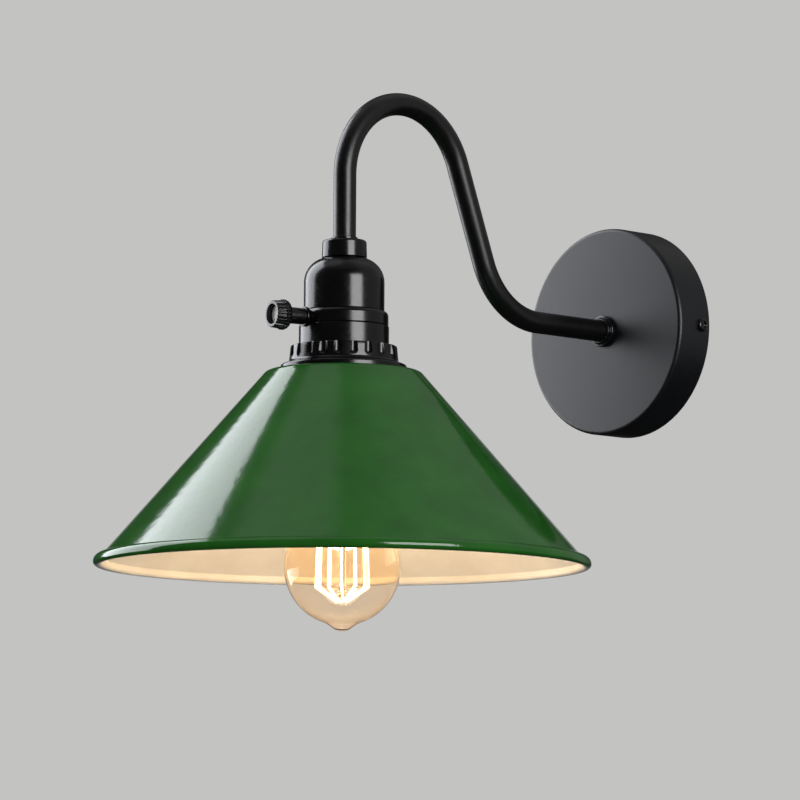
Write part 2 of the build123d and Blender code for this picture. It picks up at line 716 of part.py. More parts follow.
# ---- Lampholder insert and contacts -------------------------------------------------------------
def socket_insert():
    """Moulded insulating core: terminals on top, the switch in front, the bulb's recess below."""
    flange_r = CAP_BORE_R - SLIDE_GAP
    recess_r = THREAD_SHELL_R + THREAD_GAP
    core = turned(
        (0, INSERT_TOP),
        (flange_r, INSERT_TOP),
        (flange_r, SPIGOT_TOP),
        (INSERT_R, SPIGOT_TOP),
        (INSERT_R, INSERT_BOTTOM),
        (recess_r, INSERT_BOTTOM),
        (recess_r, INSERT_FLOOR),
        (0, INSERT_FLOOR),
    )
    bay_width = TERMINAL_SIZE + 4 * SLIDE_GAP
    bay_start = TERMINAL_OUT - TERMINAL_SIZE / 2 - SLIDE_GAP
    bay = Pos(0, bay_start, TERMINAL_FLOOR) * Box(
        bay_width, CAP_R, 2 * TERMINAL_SUNK, align=(Align.CENTER, Align.MIN, Align.MIN)
    )
    core -= Pos(WIRE_OFFSET, 0, 0) * bay
    core -= Pos(-WIRE_OFFSET, 0, 0) * Rot(0, 0, 180) * bay
    live_hole = rod(
        POST_R + THREAD_GAP, (-WIRE_OFFSET, -LIVE_POST_OUT, TERMINAL_FLOOR + CUT_PAST),
        (-WIRE_OFFSET, -LIVE_POST_OUT, INSERT_FLOOR - CUT_PAST),
    )
    neutral_hole = rod(
        POST_R + THREAD_GAP, (WIRE_OFFSET, NEUTRAL_POST_OUT, TERMINAL_FLOOR + CUT_PAST),
        (WIRE_OFFSET, NEUTRAL_POST_OUT, INSERT_FLOOR - CUT_PAST),
    )
    channel_height = TONGUE_THICKNESS + 2 * SLIDE_GAP
    channel = Pos(-WIRE_OFFSET, 0, INSERT_FLOOR) * Box(
        TONGUE_WIDTH + 2 * SLIDE_GAP, LIVE_POST_OUT + TONGUE_WIDTH / 2 + SLIDE_GAP, channel_height,
        align=(Align.CENTER, Align.MAX, Align.MIN),
    )
    pad_hole = Pos(0, 0, INSERT_FLOOR) * Cylinder(
        TONGUE_PAD_R + SLIDE_GAP, channel_height, align=(Align.CENTER, Align.CENTER, Align.MIN)
    )
    core = on_head(core - live_hole - neutral_hole - channel - pad_hole)
    pocket = on_knob_axis(Pos(0, 0, ROTOR_START - CUT_PAST) * Cylinder(
        SWITCH_POCKET_R, CAP_R, align=(Align.CENTER, Align.CENTER, Align.MIN)
    ))
    return core - pocket


def terminal(side, post_out, post_end):
    """Brass block with a wire hole, a clamp screw hole and a post down to its contact."""
    block = Pos(0, TERMINAL_OUT, TERMINAL_FLOOR) * Box(
        TERMINAL_SIZE, TERMINAL_SIZE, TERMINAL_SIZE, align=(Align.CENTER, Align.CENTER, Align.MIN)
    )
    top = TERMINAL_FLOOR + TERMINAL_SIZE
    wire_hole = rod(
        WIRE_R + THREAD_GAP, (0, TERMINAL_OUT, top + CUT_PAST),
        (0, TERMINAL_OUT, top - TERMINAL_HOLE_DEPTH),
    )
    screw_z = top - TERMINAL_SIZE / 2
    screw_hole = rod(
        TERMINAL_SCREW_R + THREAD_GAP, (0, TERMINAL_OUT, screw_z),
        (0, TERMINAL_OUT + TERMINAL_SIZE, screw_z),
    )
    post = rod(POST_R, (0, post_out, TERMINAL_FLOOR), (0, post_out, post_end))
    body = block + post - wire_hole - screw_hole
    turn = 0 if side > 0 else 180
    return on_head(Pos(side * WIRE_OFFSET, 0, 0) * Rot(0, 0, turn) * body)


def live_contact():
    return terminal(-1, LIVE_POST_OUT, KNOB_Z + ROTOR_R + ROTOR_GAP)


def neutral_contact():
    return terminal(1, NEUTRAL_POST_OUT, INSERT_FLOOR)


def terminal_screws():
    length = TERMINAL_SIZE / 2 - WIRE_R - THREAD_GAP
    screw = pan_screw(TERMINAL_SCREW_R, length, TERMINAL_SCREW_HEAD_R, TERMINAL_SCREW_HEAD)
    screw_z = TERMINAL_FLOOR + TERMINAL_SIZE / 2
    out = TERMINAL_OUT + TERMINAL_SIZE / 2
    pair = []
    for side in (-1, 1):
        place = Pos(side * WIRE_OFFSET, side * out, screw_z) * Rot(-side * 90, 0, 0)
        pair.append(on_head(place * screw))
    return Compound(children=pair)


def centre_contact():
    """Post under the rotor, a strip to the axis and the springy pad that meets the bulb."""
    strip_top = INSERT_FLOOR + TONGUE_THICKNESS + SLIDE_GAP
    strip_bottom = strip_top - TONGUE_THICKNESS
    post = rod(
        POST_R, (-WIRE_OFFSET, -LIVE_POST_OUT, KNOB_Z - ROTOR_R - ROTOR_GAP),
        (-WIRE_OFFSET, -LIVE_POST_OUT, strip_bottom),
    )
    strip = Pos(-WIRE_OFFSET, 0, strip_bottom) * Box(
        TONGUE_WIDTH, LIVE_POST_OUT + TONGUE_WIDTH / 2, TONGUE_THICKNESS,
        align=(Align.CENTER, Align.MAX, Align.MIN),
    )
    pad = turned(
        (0, TONGUE_BOTTOM),
        (TONGUE_PAD_R, TONGUE_BOTTOM, 0.5),
        (TONGUE_PAD_R, strip_top),
        (0, strip_top),
    )
    return on_head(post + strip + pad)


def thread_shell():
    """Brass screw shell in the insert's recess, with a flange on the recess floor."""
    bore = THREAD_SHELL_R - THREAD_SHELL_WALL
    bottom = INSERT_FLOOR - THREAD_SHELL_HEIGHT
    return on_head(turned(
        (THREAD_SHELL_EYE_R, INSERT_FLOOR),
        (THREAD_SHELL_R, INSERT_FLOOR),
        (THREAD_SHELL_R, bottom),
        (bore, bottom),
        (bore, INSERT_FLOOR - THREAD_SHELL_WALL),
        (THREAD_SHELL_EYE_R, INSERT_FLOOR - THREAD_SHELL_WALL),
    ))


# ---- Turn switch, drawn along its own axis ------------------------------------------------------
def bushing_start():
    return SHELL_BORE_R - BUSHING_INSIDE


def switch_bushing():
    """Sleeve that carries the shaft, screwed through the shell's wall by its thinner end."""
    bore = SHAFT_R + RUNNING_GAP
    start = bushing_start()
    step = SHELL_R + SLIDE_GAP
    end = SHELL_R + STEM_LENGTH
    return on_knob_axis(turned(
        (bore, start),
        (BUSHING_THREAD_R, start),
        (BUSHING_THREAD_R, step),
        (BUSHING_R, step),
        (BUSHING_R, end, BUSHING_EDGE_R),
        (bore, end),
    ))


def switch_ferrule():
    """Nut outside the shell, hollowed to the shell's curve."""
    bore = BUSHING_R + THREAD_GAP
    ring = on_knob_axis(turned(
        (bore, SHELL_R / 2),
        (FERRULE_R, SHELL_R / 2),
        (FERRULE_R, SHELL_R + FERRULE_HEIGHT, 0.5),
        (bore, SHELL_R + FERRULE_HEIGHT),
    ))
    return ring - on_head(Pos(0, 0, KNOB_Z) * Cylinder(SHELL_R, 4 * FERRULE_R))


def knob_start():
    return SHELL_R + STEM_LENGTH + KNOB_GAP


def switch_shaft():
    end = knob_start() + KNOB_SHAFT_DEPTH
    return on_knob_axis(turned(
        (0, ROTOR_START), (SHAFT_R, ROTOR_START), (SHAFT_R, end), (0, end)
    ))


def switch_rotor():
    """Two-lobed contact bridge: lobes up and down close the circuit, a quarter turn opens it."""
    lobes = Ellipse(ROTOR_HALF_WIDTH, ROTOR_R) - Circle(SHAFT_R + THREAD_GAP)
    return on_knob_axis(Pos(0, 0, ROTOR_START) * extrude(lobes, ROTOR_LENGTH))


def switch_knob():
    """Fluted barrel knob with a wider band at its back and a round recess in its end."""
    back = knob_start()
    front = back + KNOB_LENGTH
    shaft_end = back + KNOB_SHAFT_DEPTH
    body = turned(
        (SHAFT_R + THREAD_GAP, back),
        (KNOB_BACK_R, back, KNOB_BACK_EDGE_R),
        (KNOB_BACK_R, back + KNOB_BAND, KNOB_FRONT_EDGE_R),
        (KNOB_GRIP_R, back + KNOB_BAND + KNOB_FRONT_EDGE_R),
        (KNOB_FRONT_R, front, KNOB_FRONT_EDGE_R),
        (KNOB_RECESS_R, front),
        (KNOB_RECESS_R, front - KNOB_RECESS_DEPTH),
        (0, front - KNOB_RECESS_DEPTH),
        (0, shaft_end),
        (SHAFT_R + THREAD_GAP, shaft_end),
    )
    flute = rod(
        KNOB_FLUTE_R, (KNOB_BACK_R, 0, back - CUT_PAST), (KNOB_FRONT_R, 0, front + CUT_PAST)
    )
    return on_knob_axis(body - ring_array(KNOB_FLUTES, flute))


# ---- Bulb ---------------------------------------------------------------------------------------
def bulb_solder_contact():
    bottom = BULB_TOP - BULB_CONTACT
    return on_head(turned(
        (0, BULB_TOP), (BULB_CONTACT_R, BULB_TOP, BULB_CONTACT_DOME_R),
        (BULB_CONTACT_R, bottom), (0, bottom),
    ))


def bulb_base_insulator():
    top = BULB_TOP - BULB_CONTACT
    return on_head(turned(
        (0, top), (BULB_INSULATOR_TOP_R, top), (BULB_EYE_R, BULB_CAP_TOP), (0, BULB_CAP_TOP)
    ))


def bulb_screw_cap():
    inner = BULB_CAP_R - BULB_CAP_WALL
    return on_head(turned(
        (0, BULB_CAP_TOP),
        (BULB_CAP_R, BULB_CAP_TOP, BULB_CAP_SHOULDER_R),
        (BULB_CAP_R, BULB_CAP_BOTTOM),
        (inner, BULB_CAP_BOTTOM),
        (inner, BULB_CAP_TOP - BULB_CAP_WALL, BULB_CAP_SHOULDER_R - BULB_CAP_WALL),
        (0, BULB_CAP_TOP - BULB_CAP_WALL),
    ))


def globe_tangent(neck_r, neck_z, globe_r):
    """Point where a straight line from the neck touches the globe, as (radius, height)."""
    distance = math.hypot(neck_r, neck_z - GLOBE_Z)
    lean = math.atan2(neck_r, neck_z - GLOBE_Z)
    open_angle = math.acos(globe_r / distance)
    angle = lean + open_angle
    return globe_r * math.sin(angle), GLOBE_Z + globe_r * math.cos(angle)


def globe_half(neck_r, globe_r, tip_r, bottom):
    """Filled half-section of the bulb's envelope down to the tip's floor."""
    neck_top = BULB_CAP_BOTTOM + BULB_NECK_IN_CAP
    neck_end = BULB_CAP_BOTTOM - BULB_NECK_OUT_OF_CAP
    touch_r, touch_z = globe_tangent(neck_r, neck_end, globe_r)
    tip_z = GLOBE_Z - math.sqrt(globe_r ** 2 - tip_r ** 2)
    angle = (math.atan2(touch_z - GLOBE_Z, touch_r) + math.atan2(tip_z - GLOBE_Z, tip_r)) / 2
    side = (globe_r * math.cos(angle), GLOBE_Z + globe_r * math.sin(angle))
    tip = BULB_TIP_EDGE_R * tip_r / BULB_TIP_R
    return make_face([
        Line((0, neck_top), (neck_r, neck_top)),
        Line((neck_r, neck_top), (neck_r, neck_end)),
        Line((neck_r, neck_end), (touch_r, touch_z)),
        ThreePointArc((touch_r, touch_z), side, (tip_r, tip_z)),
        Line((tip_r, tip_z), (tip_r - tip, bottom)),
        Line((tip_r - tip, bottom), (0, bottom)),
        Line((0, bottom), (0, neck_top)),
    ])


def bulb_glass():
    neck_r = BULB_CAP_R - BULB_CAP_WALL - THREAD_GAP
    wall = BULB_GLASS_WALL
    outer = globe_half(neck_r, BULB_GLOBE_R, BULB_TIP_R, BULB_BOTTOM)
    inner = globe_half(neck_r - wall, BULB_GLOBE_R - wall, BULB_TIP_R - wall, BULB_BOTTOM + 2 * wall)
    return on_head(revolve(Plane.XZ * (outer - inner), Axis.Z))


def stem_bottom():
    return BULB_BOTTOM + STEM_ROD_END_UP


def bulb_stem():
    """Glass mount: a flared tube sealed in the neck and a rod that carries the cage."""
    top = BULB_CAP_BOTTOM + BULB_NECK_IN_CAP
    neck_r = BULB_CAP_R - BULB_CAP_WALL - BULB_GLASS_WALL - 4 * THREAD_GAP
    flare_end = top - STEM_FLARE_HEIGHT
    return on_head(turned(
        (0, top),
        (neck_r, top),
        (neck_r, top - BULB_GLASS_WALL),
        (STEM_FLARE_R / 2, flare_end, 2),
        (STEM_ROD_R, flare_end - STEM_FLARE_R),
        (STEM_ROD_R, stem_bottom(), STEM_ROD_R / 2),
        (0, stem_bottom()),
    ))


def cage_points():
    """Filament corners: up and down between the top, bend and tip hooks of the cage."""
    top_z = BULB_CAP_BOTTOM - CAGE_TOP_DOWN
    bend_z = BULB_BOTTOM + CAGE_BEND_UP
    tip_z = BULB_BOTTOM + CAGE_TIP_UP
    half = 180 / CAGE_HAIRPINS
    points = []

    def at(radius, degrees, height):
        angle = math.radians(degrees)
        return radius * math.cos(angle), radius * math.sin(angle), height

    for pin in range(CAGE_HAIRPINS):
        down = 2 * half * pin + half / 2
        points.append(at(CAGE_TOP_R, down, top_z))
        points.append(at(CAGE_R, down, bend_z))
        points.append(at(CAGE_TIP_R, down + half / 2, tip_z))
        points.append(at(CAGE_R, down + half, bend_z))
        points.append(at(CAGE_TOP_R, down + half, top_z))
    return points


def bulb_filament():
    points = cage_points()
    strands = []
    for start, end in zip(points, points[1:]):
        along = (Vector(*end) - Vector(*start)).normalized() * FILAMENT_R * 0.8
        strands.append(rod(FILAMENT_R, tuple(Vector(*start) - along), tuple(Vector(*end) + along)))
    return on_head(strands[0] + strands[1:])


def bulb_supports():
    """Three spiders on the stem's rod, each a hub with wires out to the filament's corners."""
    points = cage_points()
    hub_bore = STEM_ROD_R + THREAD_GAP
    hub_r = hub_bore + SUPPORT_HUB_WALL
    spiders = []
    levels = (
        (points[0::5] + points[4::5], points[0][2]),
        (points[1::5] + points[3::5], stem_bottom() + 3 * SUPPORT_HUB),
        (points[2::5], stem_bottom() + SUPPORT_HUB),
    )
    for hooks, hub_z in levels:
        hub = Pos(0, 0, hub_z) * extrude(Circle(hub_r) - Circle(hub_bore), SUPPORT_HUB / 2, both=True)
        for hook in hooks:
            hook_r = math.hypot(hook[0], hook[1])
            inward = (hub_bore + SUPPORT_HUB_WALL / 2) / hook_r
            start = Vector(hook[0] * inward, hook[1] * inward, hub_z)
            line = Vector(*hook) - start
            end = start + line.normalized() * (line.length - 2.2 * FILAMENT_R)
            hub += rod(SUPPORT_R, tuple(start), tuple(end))
        spiders.append(on_head(hub))
    return Compound(children=spiders)


def bulb_lead_in_wires():
    """Two wires from the stem's pinch to the ends of the filament."""
    points = cage_points()
    top = BULB_CAP_BOTTOM + BULB_NECK_IN_CAP - STEM_FLARE_HEIGHT - 1
    wires = []
    for hook in (points[0], points[-1]):
        hook_r = math.hypot(hook[0], hook[1])
        start = Vector(hook[0] * LEAD_IN_OUT / hook_r, hook[1] * LEAD_IN_OUT / hook_r, top)
        line = Vector(*hook) - start
        end = start + line.normalized() * (line.length - 2.6 * FILAMENT_R)
        wires.append(on_head(rod(LEAD_IN_R, tuple(start), tuple(end))))
    return Compound(children=wires)


# ---- Files --------------------------------------------------------------------------------------
NODES = {
    "wall_bracket": wall_bracket(),
    "bracket_earth_screw": bracket_earth_screw(),
    "earth_lead": earth_lead(),
    "canopy": canopy(),
    "canopy_side_screws": canopy_side_screws(),
    "arm_collar": arm_collar(),
    "arm_nipple": arm_nipple(),
    "arm_lock_washer": arm_lock_washer(),
    "arm_lock_nut": arm_lock_nut(),
    "gooseneck_arm": gooseneck_arm(),
    "live_wire": lead_wire(-1),
    "neutral_wire": lead_wire(1),
    "wire_connectors": wire_connectors(),
    "head_nipple": head_nipple(),
    "neck_collar": neck_collar(),
    "socket_cap": socket_cap(),
    "cap_lock_nut": cap_lock_nut(),
    "cap_liner": cap_liner(),
    "socket_shell": socket_shell(),
    "shade_ring_upper": shade_ring_upper(),
    "lamp_shade": lamp_shade(),
    "shade_ring_lower": shade_ring_lower(),
    "socket_insert": socket_insert(),
    "live_contact": live_contact(),
    "neutral_contact": neutral_contact(),
    "terminal_screws": terminal_screws(),
    "centre_contact": centre_contact(),
    "thread_shell": thread_shell(),
    "switch_bushing": switch_bushing(),
    "switch_ferrule": switch_ferrule(),
    "switch_shaft": switch_shaft(),
    "switch_rotor": switch_rotor(),
    "switch_knob": switch_knob(),
    "bulb_solder_contact": bulb_solder_contact(),
    "bulb_base_insulator": bulb_base_insulator(),
    "bulb_screw_cap": bulb_screw_cap(),
    "bulb_glass": bulb_glass(),
    "bulb_stem": bulb_stem(),
    "bulb_supports": bulb_supports(),
    "bulb_lead_in_wires": bulb_lead_in_wires(),
    "bulb_filament": bulb_filament(),
}

os.makedirs("parts", exist_ok=True)
for name, shape in NODES.items():
    export_step(shape, f"parts/{name}.step")
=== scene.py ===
import json
import math

import bmesh
import bpy
from mathutils import Matrix, Vector

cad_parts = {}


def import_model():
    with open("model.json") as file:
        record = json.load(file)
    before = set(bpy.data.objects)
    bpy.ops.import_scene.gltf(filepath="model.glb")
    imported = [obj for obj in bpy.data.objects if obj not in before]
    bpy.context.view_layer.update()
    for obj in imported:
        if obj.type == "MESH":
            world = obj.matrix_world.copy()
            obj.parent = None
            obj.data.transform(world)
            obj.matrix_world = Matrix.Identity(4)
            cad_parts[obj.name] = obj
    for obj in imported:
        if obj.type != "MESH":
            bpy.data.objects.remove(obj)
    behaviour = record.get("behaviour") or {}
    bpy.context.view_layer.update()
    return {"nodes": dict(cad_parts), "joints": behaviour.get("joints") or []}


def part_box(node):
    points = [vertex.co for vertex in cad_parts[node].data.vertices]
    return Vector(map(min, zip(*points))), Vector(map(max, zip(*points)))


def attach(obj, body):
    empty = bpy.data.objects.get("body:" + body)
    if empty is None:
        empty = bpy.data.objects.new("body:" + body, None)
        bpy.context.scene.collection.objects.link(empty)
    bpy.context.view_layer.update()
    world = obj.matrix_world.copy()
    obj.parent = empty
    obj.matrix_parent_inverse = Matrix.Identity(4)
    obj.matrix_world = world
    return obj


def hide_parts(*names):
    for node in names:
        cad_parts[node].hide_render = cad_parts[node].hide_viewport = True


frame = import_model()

MM = 0.001

# ---- How finely round things are drawn -----------------------------------------------------------
ROUND_SIDES = 192
SMALL_SIDES = 96
BULB_CAP_SIDES = 120
SHADE_SIDES = 288
DRILL_SIDES = 24
COIL_WIRE_SIDES = 4
GLOBE_STEPS = 48
THREAD_STEP = 0.3
ARC_STEP = math.radians(9)
SHARP_ANGLE = math.radians(32)
WELD = 0.0005

# ---- Roundings and gaps that many pieces share, in millimetres -----------------------------------
FINE_ROUND = 0.15
RIM_ROUND = 0.25
EDGE_ROUND = 0.3
SOFT_ROUND = 0.4
SLIP = 0.05
HOLE_GAP = 0.2
DRILL_PAST = 2.0

# ---- Places of the turned pieces, each in millimetres about its own axis -------------------------
SWITCH_JOINT = next(joint for joint in frame["joints"] if joint["name"] == "switch_turn")
TO_METRES = Matrix.Scale(MM, 4)
HEAD_Y = sum(corner.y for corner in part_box("neck_collar")) / 2
ON_HEAD = Matrix.Translation((0, HEAD_Y, 0)) @ TO_METRES
ON_WALL = Matrix.Rotation(math.radians(90), 4, "X") @ TO_METRES
ON_SWITCH = (
    Matrix.Translation(SWITCH_JOINT["pos_m"])
    @ Vector(SWITCH_JOINT["axis"]).to_track_quat("Z", "Y").to_matrix().to_4x4()
    @ TO_METRES
)


def measured(node, place):
    """Lowest and highest point along a piece's axis, and its largest radius, in millimetres."""
    to_piece = place.inverted()
    points = [to_piece @ vertex.co for vertex in frame["nodes"][node].data.vertices]
    heights = [point.z for point in points]
    return min(heights), max(heights), max(point.xy.length for point in points)


CANOPY_BACK, CANOPY_FRONT, CANOPY_R = measured("canopy", ON_WALL)
COLLAR_BACK, COLLAR_FRONT, COLLAR_R = measured("arm_collar", ON_WALL)
NIPPLE_BACK, NIPPLE_FRONT, NIPPLE_R = measured("arm_nipple", ON_WALL)
NUT_LOW, NUT_HIGH, _ = measured("arm_lock_nut", ON_WALL)
CAP_TOP, NECK_TOP, NECK_R = measured("neck_collar", ON_HEAD)
SHELL_TOP, _, CAP_R = measured("socket_cap", ON_HEAD)
SKIRT_BOTTOM, SPIGOT_TOP, SHELL_R = measured("socket_shell", ON_HEAD)
SHADE_TOP, RING_TOP, FLANGE_R = measured("shade_ring_upper", ON_HEAD)
LOWER_BOTTOM, LOWER_TOP, LOWER_R = measured("shade_ring_lower", ON_HEAD)
SHADE_BOTTOM, _, SHADE_R = measured("lamp_shade", ON_HEAD)
BUSHING_BACK, BUSHING_FRONT, BUSHING_R = measured("switch_bushing", ON_SWITCH)
KNOB_BACK, KNOB_FRONT, KNOB_R = measured("switch_knob", ON_SWITCH)
BULB_BOTTOM, GLASS_TOP, GLOBE_R = measured("bulb_glass", ON_HEAD)
BULB_CAP_BOTTOM, BULB_CAP_TOP, BULB_CAP_R = measured("bulb_screw_cap", ON_HEAD)

# ---- Sizes that a box can't give, in millimetres -------------------------------------------------
CANOPY_WALL = 1.2
CANOPY_EDGE_R = 2.2
SIDE_SCREW_HOLE_R = 2.2
COLLAR_BASE = 2.6
COLLAR_STEP_R = 7.5
COLLAR_CHAMFER = 0.7
TUBE_R = 6.0
TUBE_WALL = 1.15
ARM_REACH = 52.7
ARM_RISE_BEND_R = 45.0
ARM_RISE_ANGLE = 68.6
ARM_RISE_LENGTH = 55.5
ARM_ARCH_R = 43.0
ARM_DROP = 33.2
ARM_SEAT = 8.0
BEND_STEP = 2.0
NECK_LIP_R = 6.9
NECK_LIP = 1.7
NECK_TOP_R = 11.6
NECK_EDGE_R = 1.5
CAP_DOME_R = 13.0
CAP_WALL = 1.5
SHELL_SHOULDER_R = 2.7
SHELL_BAND_R = 23.35
SHELL_WALL = 1.5
SHELL_FOOT_R = 0.6
SPIGOT_R = 19.5
SPIGOT_BORE_R = 18.3
GROOVE_DOWN = 7.9
GROOVE_WIDTH = 0.75
GROOVE_DEPTH = 0.55
GROOVE_EDGE_R = 0.12
SKIRT_R = 20.0
SKIRT_BORE_R = 18.5
RING_TEETH = 22
RING_TOP_R = 28.0
RING_FOOT_R = 28.7
RING_TOOTH_HEIGHT = 7.2
RING_TOP_EDGE_R = 0.5
RING_FLUTE_R = 2.6
RING_FLUTE_DEPTH = 0.9
RING_EDGE_LEVELS = (0, 0.07, 0.22)
FLUTE_SHARES = (0, 0.25, 0.5, 0.75, 0.94)
TOOTH_STARTS_AT = 1.06
TOOTH_SHARES = (0, 1 / 3, 2 / 3, 1)
RING_BORE_R = 20.05
FLANGE_EDGE_R = 1.3
FLANGE_COVE_DOWN = 1.1
FLANGE_COVE_R = 1.4
FLANGE_EDGE_DOWN = 2.9
FLANGE_FOOT_R = 0.6
LOWER_NOTCHES = 12
LOWER_NOTCH_R = 2.2
LOWER_NOTCH_LEDGE = 1.5
LOWER_NOTCH_STEPS = 8
LOWER_EDGE_R = 1.5
SHADE_WALL = 1.0
SHADE_HOLE_R = 20.2
SHADE_SHOULDER_R = 40.5
SHADE_SHOULDER_BEND_R = 5.0
SHADE_CREASE_R = 125.0
SHADE_CREASE_ROUND = 0.8
SHADE_BEAD_HEIGHT = 6.0
SHADE_BEAD_R = 3.9
SHADE_HEM = 4.8
SHADE_HEM_EDGE_R = 2.0
SHADE_HEM_TOP_R = 1.0
SHAFT_BORE_R = 2.05
BUSHING_THREAD_R = 3.4
BUSHING_STEP = 0.15
KNOB_FRONT_R = 7.1
KNOB_GRIP_R = 7.45
KNOB_BAND = 3.6
KNOB_BAND_STEP = 0.5
KNOB_BACK_EDGE_R = 2.6
KNOB_RECESS_R = 5.3
KNOB_RECESS_DEPTH = 3.0
KNOB_RECESS_LIP_R = 0.2
KNOB_RECESS_FLOOR_R = 0.6
KNOB_FLOOR_MARGIN = 0.1
KNOB_BEVEL = 0.55
KNOB_BEVEL_BACK = 0.3
KNOB_SHAFT_DEPTH = 4.5
KNOB_RIDGES = 24
KNOB_GROOVE = 0.75
KNOB_GROOVE_SHAPE = ((0, 0), (0.22, 0.03), (0.4, 0.14), (0.52, 0.4), (0.64, 0.75), (0.8, 0.95), (1, 1))
BULB_CAP_WALL = 0.4
BULB_CAP_TOP_WALL = 1.0
BULB_CAP_SHOULDER_R = 1.2
BULB_CAP_HEM = 4.0
BULB_CAP_BAND = 3.5
BULB_THREAD_DOWN = 1.5
BULB_THREAD_FADE = 2.5
BULB_GLASS_WALL = 0.35
BULB_NECK_OUT_OF_CAP = 4.0
BULB_NECK_BLEND = 2.0
BULB_TIP_R = 9.0
BULB_TIP = 2.9
BULB_TIP_SHAPE = ((0.78, 0.29), (0.58, 0.60), (0.45, 0.80), (0.33, 0.92), (0.17, 0.99), (0, 1))
BULB_THREAD_PITCH = 25.4 / 7
BULB_THREAD_DEPTH = 0.9
NIPPLE_THREAD_PITCH = 25.4 / 27
NIPPLE_THREAD_DEPTH = 0.45
NIPPLE_THREAD_FADE = 0.8
NIPPLE_BORE_R = 3.4
NUT_ACROSS_FLATS = 14.0
NUT_CHAMFER = 0.45
CONNECTOR_R = 5.4
CONNECTOR_TIP_R = 3.2
CONNECTOR_LENGTH = 21.0
CONNECTOR_MOUTH_R = 1.25
CONNECTOR_SOCKET = 12.0
CONNECTOR_RIBS = 12
CONNECTOR_GROOVE = 0.45
CONNECTOR_GROOVE_SHAPE = ((0, 0), (0.18, 0.1), (0.3, 0.7), (0.5, 1), (0.7, 0.7), (0.82, 0.1), (1, 0))
CONNECTOR_SKIRT = 7.35
CONNECTOR_SKIRT_BAND = 5.88
CONNECTOR_RIM_R = 0.5
CONNECTOR_END_R = 1.0
CAGE_R = 13.8
CAGE_TOP_R = 11.4
CAGE_TIP_R = 2.8
CAGE_TOP_DOWN = 26.0
CAGE_BEND_UP = 22.9
CAGE_TIP_UP = 15.2
CAGE_HAIRPINS = 6
COIL_R = 0.4
COIL_PITCH = 0.9
COIL_WIRE_R = 0.18
COIL_STEPS = 7


# ---- Outlines and skins --------------------------------------------------------------------------
def rounded(corners, closed=True):
    """Points of an outline of (across, along[, radius]) corners, each with the number of its corner."""
    points = []
    for index, corner in enumerate(corners):
        here = Vector(corner[:2])
        at_end = not closed and index in (0, len(corners) - 1)
        if len(corner) < 3 or at_end:
            points.append((here, index))
            continue
        back = (Vector(corners[index - 1][:2]) - here).normalized()
        ahead = (Vector(corners[(index + 1) % len(corners)][:2]) - here).normalized()
        half = back.angle(ahead) / 2
        start = here + back * corner[2] / math.tan(half)
        centre = here + (back + ahead).normalized() * corner[2] / math.sin(half)
        turn = math.pi - 2 * half
        if back.x * ahead.y - back.y * ahead.x > 0:
            turn = -turn
        steps = max(2, math.ceil(abs(turn) / ARC_STEP))
        for step in range(steps + 1):
            arm = start - centre
            arm.rotate(Matrix.Rotation(turn * step / steps, 2))
            points.append((centre + arm, index))
    return points


def quads(name, rows, closed=False, shades=None):
    """Mesh through rings of points; closed joins the last ring to the first, and shades gives each
    row's material number."""
    width = len(rows[0])
    faces = []
    numbers = []
    for row in range(len(rows) if closed else len(rows) - 1):
        here = row * width
        ahead = (row + 1) % len(rows) * width
        for column in range(width):
            beside = (column + 1) % width
            faces.append((here + column, here + beside, ahead + beside, ahead + column))
            numbers.append(shades[row] if shades else 0)
    mesh = bpy.data.meshes.new(name)
    mesh.from_pydata([point for row in rows for point in row], [], faces)
    mesh.polygons.foreach_set("material_index", numbers)
    return mesh


def cleaned(mesh, place=Matrix.Identity(4), recalculate=True):
    """Weld a mesh, turn its faces outwards, shade it smooth up to its sharp edges and place it."""
    shape = bmesh.new()
    shape.from_mesh(mesh)
    weld = WELD if place != Matrix.Identity(4) else WELD * MM
    bmesh.ops.remove_doubles(shape, verts=shape.verts, dist=weld)
    bmesh.ops.dissolve_degenerate(shape, edges=shape.edges, dist=weld)
    if recalculate:
        bmesh.ops.recalc_face_normals(shape, faces=shape.faces)
    shape.to_mesh(mesh)
    shape.free()
    mesh.transform(place)
    mesh.shade_smooth()
    mesh.set_sharp_from_angle(angle=SHARP_ANGLE)
    return mesh


def skin(name, rows, closed, place, shades=None):
    """Cleaned surface through rings of points, in its place."""
    return cleaned(quads(name, rows, closed, shades), place)


def ring_of_points(radius, height, sides=ROUND_SIDES, wave=None):
    """One turn about Z; wave(angle, height) is taken off the radius, as a thread's groove is."""
    ring = []
    for side in range(sides):
        angle = math.tau * side / sides
        reach = radius - (wave(angle, height) if wave else 0)
        ring.append((reach * math.cos(angle), reach * math.sin(angle), height))
    return ring


def lathe(name, corners, place, sides=ROUND_SIDES, second_from=None):
    """Turned piece. second_from is the corner from which the second material goes on."""
    outline = rounded(corners)
    rows = [ring_of_points(point.x, point.y, sides) for point, _ in outline]
    shades = None
    if second_from is not None:
        shades = [int(corner >= second_from) for _, corner in outline]
    return skin(name, rows, True, place, shades)


def thread_wave(pitch, depth, start, end, fade):
    """Depth of a right-hand thread's groove at an angle and height, fading out at both ends."""
    def wave(angle, height):
        share = min(1, max(0, (height - start) / fade), max(0, (end - height) / fade))
        return depth * share * (0.5 - 0.5 * math.cos(math.tau * height / pitch - angle))
    return wave


